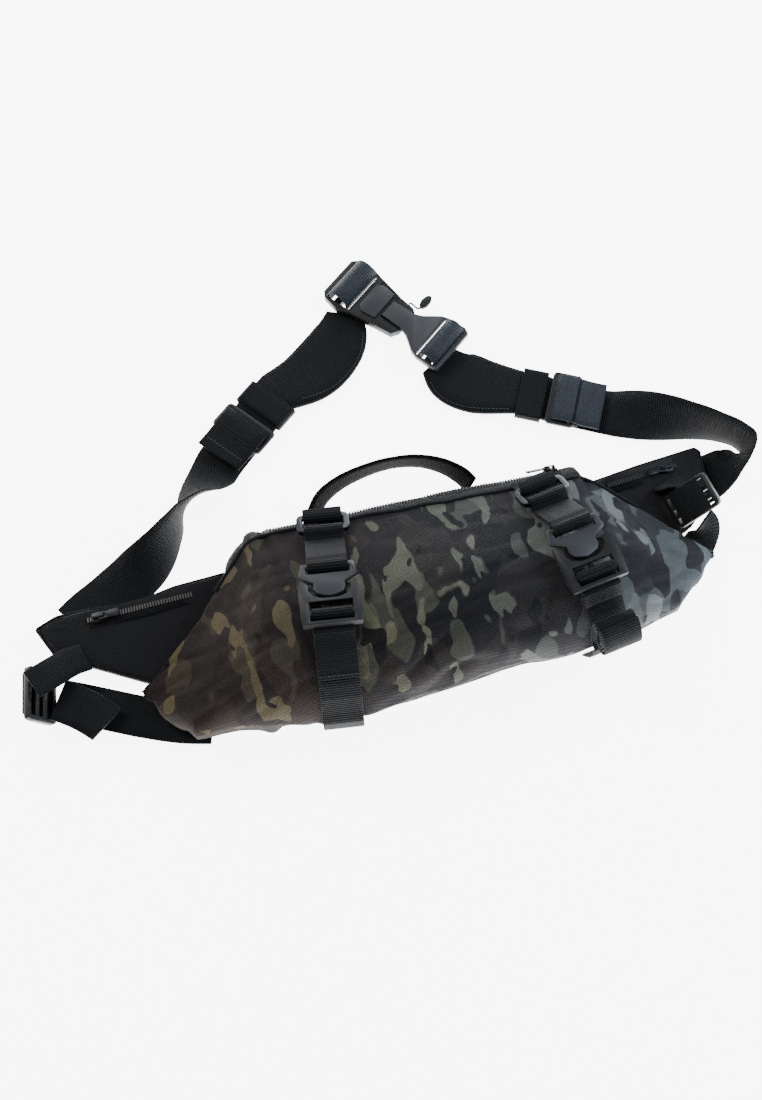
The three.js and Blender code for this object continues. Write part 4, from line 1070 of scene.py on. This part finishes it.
bar_loop("left_bar_loop", (-60.6, -42), 19.6)
bar_loop("right_bar_loop", (30.4, 46), 18.6)
OUTER_BAR = -9.95
BAR_ROUND = 3.15
KEEPER_AT = {"left": 27, "right": 25}
KEEPER_LENGTH = 20
ELASTIC_THICK = 1.1
turn_stitches = {}
# On the right, the slider's turn takes the webbing with the painted blue sheen.
for side, at, along, finish in (
    ("left", left_at, left_along, webbing), ("right", right_at, right_along, webbing_painted_sheen),
):
    # the sewn end: up round the slider's outer bar and back on itself
    sewn = [(OUTER_BAR - 20, GLIDE_Z + 1), (-20, GLIDE_Z + 1), (-14.5, GLIDE_Z + 1.6), *[
        (OUTER_BAR + BAR_ROUND * math.cos(math.radians(a)), GLIDE_Z + BAR_ROUND * math.sin(math.radians(a)))
        for a in range(140, -141, -20)
    ], (-14.5, GLIDE_Z - 1.6), (-20, GLIDE_Z - 0.9), (OUTER_BAR - 20, GLIDE_Z - 0.9)]
    band(side + "_sewn_end", sewn, at(0), along, STRAP_WIDTH, STRAP_THICK, smooth=4)
    # the strap's turn over the slider, and its row of stitches
    over_bar = [(-31, 8.2), (-20, 8.4), (-13, 9.4), (-6, 10.5), (0, 10.8), (5.5, 9.9), (8.4, 7.4), (8.6, 4.8)]
    band(side + "_slider_turn", over_bar, at(0), along, STRAP_WIDTH + 2, STRAP_THICK, finish=finish,
         body=side + "_adjuster")
    outward = along.cross(Vector((0, 0, 1)))
    turn_stitches[side + "_adjuster"] = [
        [(Vector(at(-23, 9.2)) + outward * o) * MM for o in np.linspace(-16, 16, 20)]
    ]
    # the keeper: elastic sewn into a flat loop round both layers
    across = along.cross(Vector((0, 0, 1)))
    reach_x, reach_z, round_by = STRAP_WIDTH / 2 + 2.1, 3.5, 2.2
    loop = []
    for cx, cz, first in (
        (reach_x - round_by, reach_z - round_by, 0), (round_by - reach_x, reach_z - round_by, 90),
        (round_by - reach_x, round_by - reach_z, 180), (reach_x - round_by, round_by - reach_z, 270),
    ):
        loop += arc(cx, cz, round_by, first, first + 90, 5)
    origin = Vector(at(KEEPER_AT[side], KEEPER_Z))
    path = evenly([*loop, loop[0]], 81)[:-1]
    centres = [origin + across * u + Vector((0, 0, w)) for u, w in path]
    mesh = ribbon(side + "_keeper", centres, [along] * len(centres), KEEPER_LENGTH, ELASTIC_THICK, True)
    shown(side + "_keeper_band", mesh, webbing, (side + "_keeper",))

# ---- front compression straps ----
# Each has an anchor from the zip's seam round its ring, a doubled length from the ring to the clip,
# and a lower length from the bottom seam up the belly to the clip's adjuster bar, with a loose tail.

BAR = 3.4
EYE = 3.3
RING_LENGTH = 20
stitch_lines = {"bag": [], "left_clip": [], "right_clip": []}


def front_strap(side, start, aim, seam, clip, clip_end, tail):
    """One strap's three lengths, from `start` on the line to `aim`; the rest are distances along it."""
    down = Vector((aim[0] - start[0], aim[1] - start[1], 0)).normalized()
    across = down.cross(Vector((0, 0, 1)))

    def height_over(s, reach):
        """The highest cloth under the strap at s, out to `reach` on both sides."""
        return max(front_at(
            start[0] + down.x * s + across.x * reach * k, start[1] + down.y * s + across.y * reach * k,
        ) for k in (-1, -0.5, 0, 0.5, 1))

    def over(s, lift):
        """A point `lift` off the cloth at s."""
        slope = (height_over(s + 1.5, 14) - height_over(s - 1.5, 14)) / 3
        length = math.hypot(1, slope)
        return s - slope / length * lift, height_over(s, 14) + lift / length

    def resting(a, b, below):
        """The ends of a stiff part that rests on the cloth from a to b, `below` deep at each part."""
        lift = 0
        for i in range(13):
            part = i / 12
            chord = mix(height_over(a, 21), height_over(b, 21), part)
            lift = max(lift, height_over(mix(a, b, part), 21) + below(part) - chord)
        return (a, height_over(a, 21) + lift), (b, height_over(b, 21) + lift)

    half = (RING_LENGTH - BAR) / 2
    ends = resting(-half, half, lambda part: 5.6)
    ring_along = Vector((ends[1][0] - ends[0][0], ends[1][1] - ends[0][1])).normalized()
    ring_z = (ends[0][1] + ends[1][1]) / 2
    upper_bar = (-half * ring_along.x, ring_z - half * ring_along.y)
    lower_bar = (half * ring_along.x, ring_z + half * ring_along.y)
    turn = math.degrees(math.asin(ring_along.y))
    band(side + "_anchor_webbing", [
        over(seam, 1.4), over(mix(seam, upper_bar[0] - 4, 0.5), 1.4),
        *arc(*upper_bar, EYE + 0.7, -112 + turn, 78 + turn, 9), (upper_bar[0] - 5, upper_bar[1] + 3),
    ], start, down, WEB_WIDTH)

    clip_bar, far = resting(clip - 5, clip_end, lambda part: 6.9 if part > 0.6 else 5.6)
    span = Vector((far[0] - clip_bar[0], far[1] - clip_bar[1]))
    clip_length = span.length
    span.normalize()

    def on_clip(a, c):
        return clip_bar[0] + a * span.x - c * span.y, clip_bar[1] + a * span.y + c * span.x

    outer = EYE + WEB_THICK
    first = (lower_bar[0] + outer + 2.4, lower_bar[1] - 0.4)
    last = (clip_bar[0] - outer - 2.4, clip_bar[1] - 0.4)
    spine = [first]
    for i in range(1, 6):
        s = mix(first[0], last[0], i / 6)
        spine.append((s, max(over(s, 2.9)[1], mix(first[1], last[1], i / 6))))
    spine.append(last)
    eye_middle = EYE + WEB_THICK / 2
    loop = [(s, z + 0.85) for s, z in spine]
    loop += arc(*clip_bar, eye_middle, 150, -150, 14)
    loop += [(s, z - 0.85) for s, z in reversed(spine)]
    loop += arc(*lower_bar, eye_middle, -30, -330, 14)
    band(side + "_upper_webbing", loop, start, down, WEB_WIDTH, closed=True, smooth=2)

    def at(s, offset, z):
        plan = [start[k] + down[k] * s + across[k] * offset for k in (0, 1)]
        return Vector((*plan, z)) * MM

    for s0, z0 in (spine[1], spine[4]):
        stitch_lines[side + "_clip"].append([
            at(s0 + 1.6 * math.sin(j * 1.35) + 1.5, o, z0 + 1.75)
            for j, o in enumerate(np.linspace(-11.5, 11.5, 25))
        ])

    middle_bar = clip_length - 9
    end_s = on_clip(clip_length, 0)[0]
    edge = (start[1] - on_line(LOWER_EDGE, start[0] + down.x * 125)) / -down.y
    path = [(edge - 5, 12), (edge - 2.2, 18), (edge + 1.6, 27), (edge + 3.6, 37), (edge + 3, 47)]
    path += [over(mix(edge - 3.5, end_s + 7, i / 6), 1.7) for i in range(7)]
    path.append(on_clip(clip_length - 3, -5.6))
    for a, c, radius, a0, a1, parts in (
        (middle_bar - 1.6, -3.5, 1.9, 270, 180, 3), (middle_bar, 0.5, 3.5, 180, 0, 8),
        (middle_bar + 5.4, -1.7, 1.9, 180, 270, 3),
    ):
        path += [on_clip(*p) for p in arc(a, c, radius, a0, a1, parts)]
    path.append(on_clip(clip_length + 2.5, -3.6))
    path += [over(end_s + s, 3.9) for s in tail]
    band(side + "_lower_webbing", path, start, down, WEB_WIDTH)
    hem = over(end_s + tail[-1] - 2, 4.7)
    stitch_lines["bag"].append([at(hem[0], o, hem[1]) for o in (-12, 0, 12)])
    return start, down, edge


front_strap("left", (-60, 47), (-72.5, -42), -13.5, 48, 90, (8, 16, 24, 31))
start, down, edge = front_strap("right", (97, 28), (109, -57), -19, 45, 87, (6,))
# the right strap's spare length, rolled up below its clip
roll_at = (edge + 1.5, 68.8)
ROLL_TURNS = 3.4
ROLL_TILT = math.radians(-52)
roll = []
for i in range(91):
    turn = i / 90
    angle = math.radians(140) - turn * ROLL_TURNS * 2 * math.pi
    reach, depth = mix(13.5, 5.5, turn) * math.cos(angle), mix(9.6, 1.8, turn) * math.sin(angle)
    roll.append((
        roll_at[0] + reach * math.cos(ROLL_TILT) - depth * math.sin(ROLL_TILT),
        roll_at[1] + reach * math.sin(ROLL_TILT) + depth * math.cos(ROLL_TILT),
    ))
band("right_webbing_roll", roll, start, down, WEB_WIDTH, smooth=2)

# ---- thread ----
# Bonded black thread: wavy rows across the doubled front webbing, rows along the edges of the
# shoulder strap's doubled lengths, across its turns over the sliders, and on the front tails' hems.

STITCH_PITCH = 0.0028
STITCH = (0.002, 0.0005, 0.0004)
stitch_lines["bag"] += edge_stitches
for body, lines in {**stitch_lines, **turn_stitches}.items():
    repeated(body + "_stitches", lines, STITCH_PITCH, STITCH, thread, body)

# ---- buckles, rings and sliders ----
# Moulded nylon and cast alloy parts, taken from the fixed model with their edges rounded. The
# clips and the buckle are moulded in two pieces each, and the webbing is threaded round their bars.


def nylon_finish(name, dark, light):
    """Moulded nylon with a very fine grain."""
    material, shader = finish_of(name, Roughness=0.45)
    shader.inputs["Specular IOR Level"].default_value = 0.3
    grain = speckled(material, shader, 1400, dark, light, Detail=2)[1]
    relief = add_node(material, "Bump", {"Height": grain}, Strength=0.12, Distance=0.0003)
    material.node_tree.links.new(relief.outputs["Normal"], shader.inputs["Normal"])
    return material


# Glass-filled nylon, satin black, and the same in the grey of the clips' and the buckle's plates.
nylon = nylon_finish("moulded_black_nylon", "0c0d0e", "141517")
grey_nylon = nylon_finish("moulded_grey_nylon", "25262a", "2e2f33")

# Cast alloy with a dark satin coat.
alloy, shader = finish_of("dark_coated_alloy", Metallic=0.85, Roughness=0.36)
speckled(alloy, shader, 900, "1b1c1f", "2e3034", Detail=3)

# Nickel-plated magnets.
nickel, shader = finish_of("nickel_plate", Metallic=1, Roughness=0.25)
speckled(nickel, shader, 1200, "9fa2a6", "b9bcc0")


def rounded_part(name, material, radius=0.0006, plate=None):
    """A copy of a fixed part with rounded edges; faces above `plate` metres are in the plate's grey."""
    mesh = nodes[name].data.copy()
    solid = bmesh.new()
    solid.from_mesh(mesh)
    bmesh.ops.remove_doubles(solid, verts=solid.verts, dist=1e-6)
    bmesh.ops.dissolve_limit(solid, angle_limit=math.radians(1), verts=solid.verts, edges=solid.edges)
    solid.to_mesh(mesh)
    solid.free()
    mesh.name = name + "_shape"
    obj = shown(name + "_part", mesh, material, (name,))
    if plate:
        mesh.materials.append(grey_nylon)
        for face in mesh.polygons:
            face.material_index = int(min(mesh.vertices[v].co.z for v in face.vertices) > plate)
    bevel = obj.modifiers.new("edges", "BEVEL")
    bevel.width = radius
    bevel.segments = 2
    bevel.limit_method = "ANGLE"
    bevel.angle_limit = math.radians(35)
    bevel.harden_normals = True
    return obj


PLATE_Z = 0.0112
for name in ("left_clip_male", "right_clip_male", "buckle_male"):
    rounded_part(name, grey_nylon, 0.0007)
rounded_part("buckle_female", nylon, 0.0007, plate=PLATE_Z)
for name in (
    "left_clip_female", "right_clip_female", "left_ladder_lock", "right_ladder_lock", "left_strap_slider",
    "right_strap_slider", "buckle_latch", "latch_pull",
):
    rounded_part(name, nylon, 0.0006)
for name in ("left_strap_ring", "right_strap_ring"):
    rounded_part(name, alloy, 0.0013)
for name in (
    "main_zip_slider", "main_zip_pull", "left_wing_slider", "right_wing_slider", "left_wing_pull",
    "right_wing_pull",
):
    rounded_part(name, alloy, 0.0003)
for name in ("female_magnet", "male_magnet"):
    rounded_part(name, nickel, 0.0002)

# Grip ribs moulded along the edges of the female half's arms.
for side, (x0, y0, x1, y1) in (("near", (20.3, -34, 16.6, -13)), ("far", (-17.6, -33, -13.4, -14))):
    ends = [Vector(on_buckle(y, -x, 11.15)) * MM for x, y in ((x0, y0), (x1, y1))]
    line = [ends[0].lerp(ends[1], i / 20) for i in range(21)]
    repeated("grip_ribs_" + side, [line], 0.0024, (0.0012, 0.0034, 0.0008), nylon, "bag")
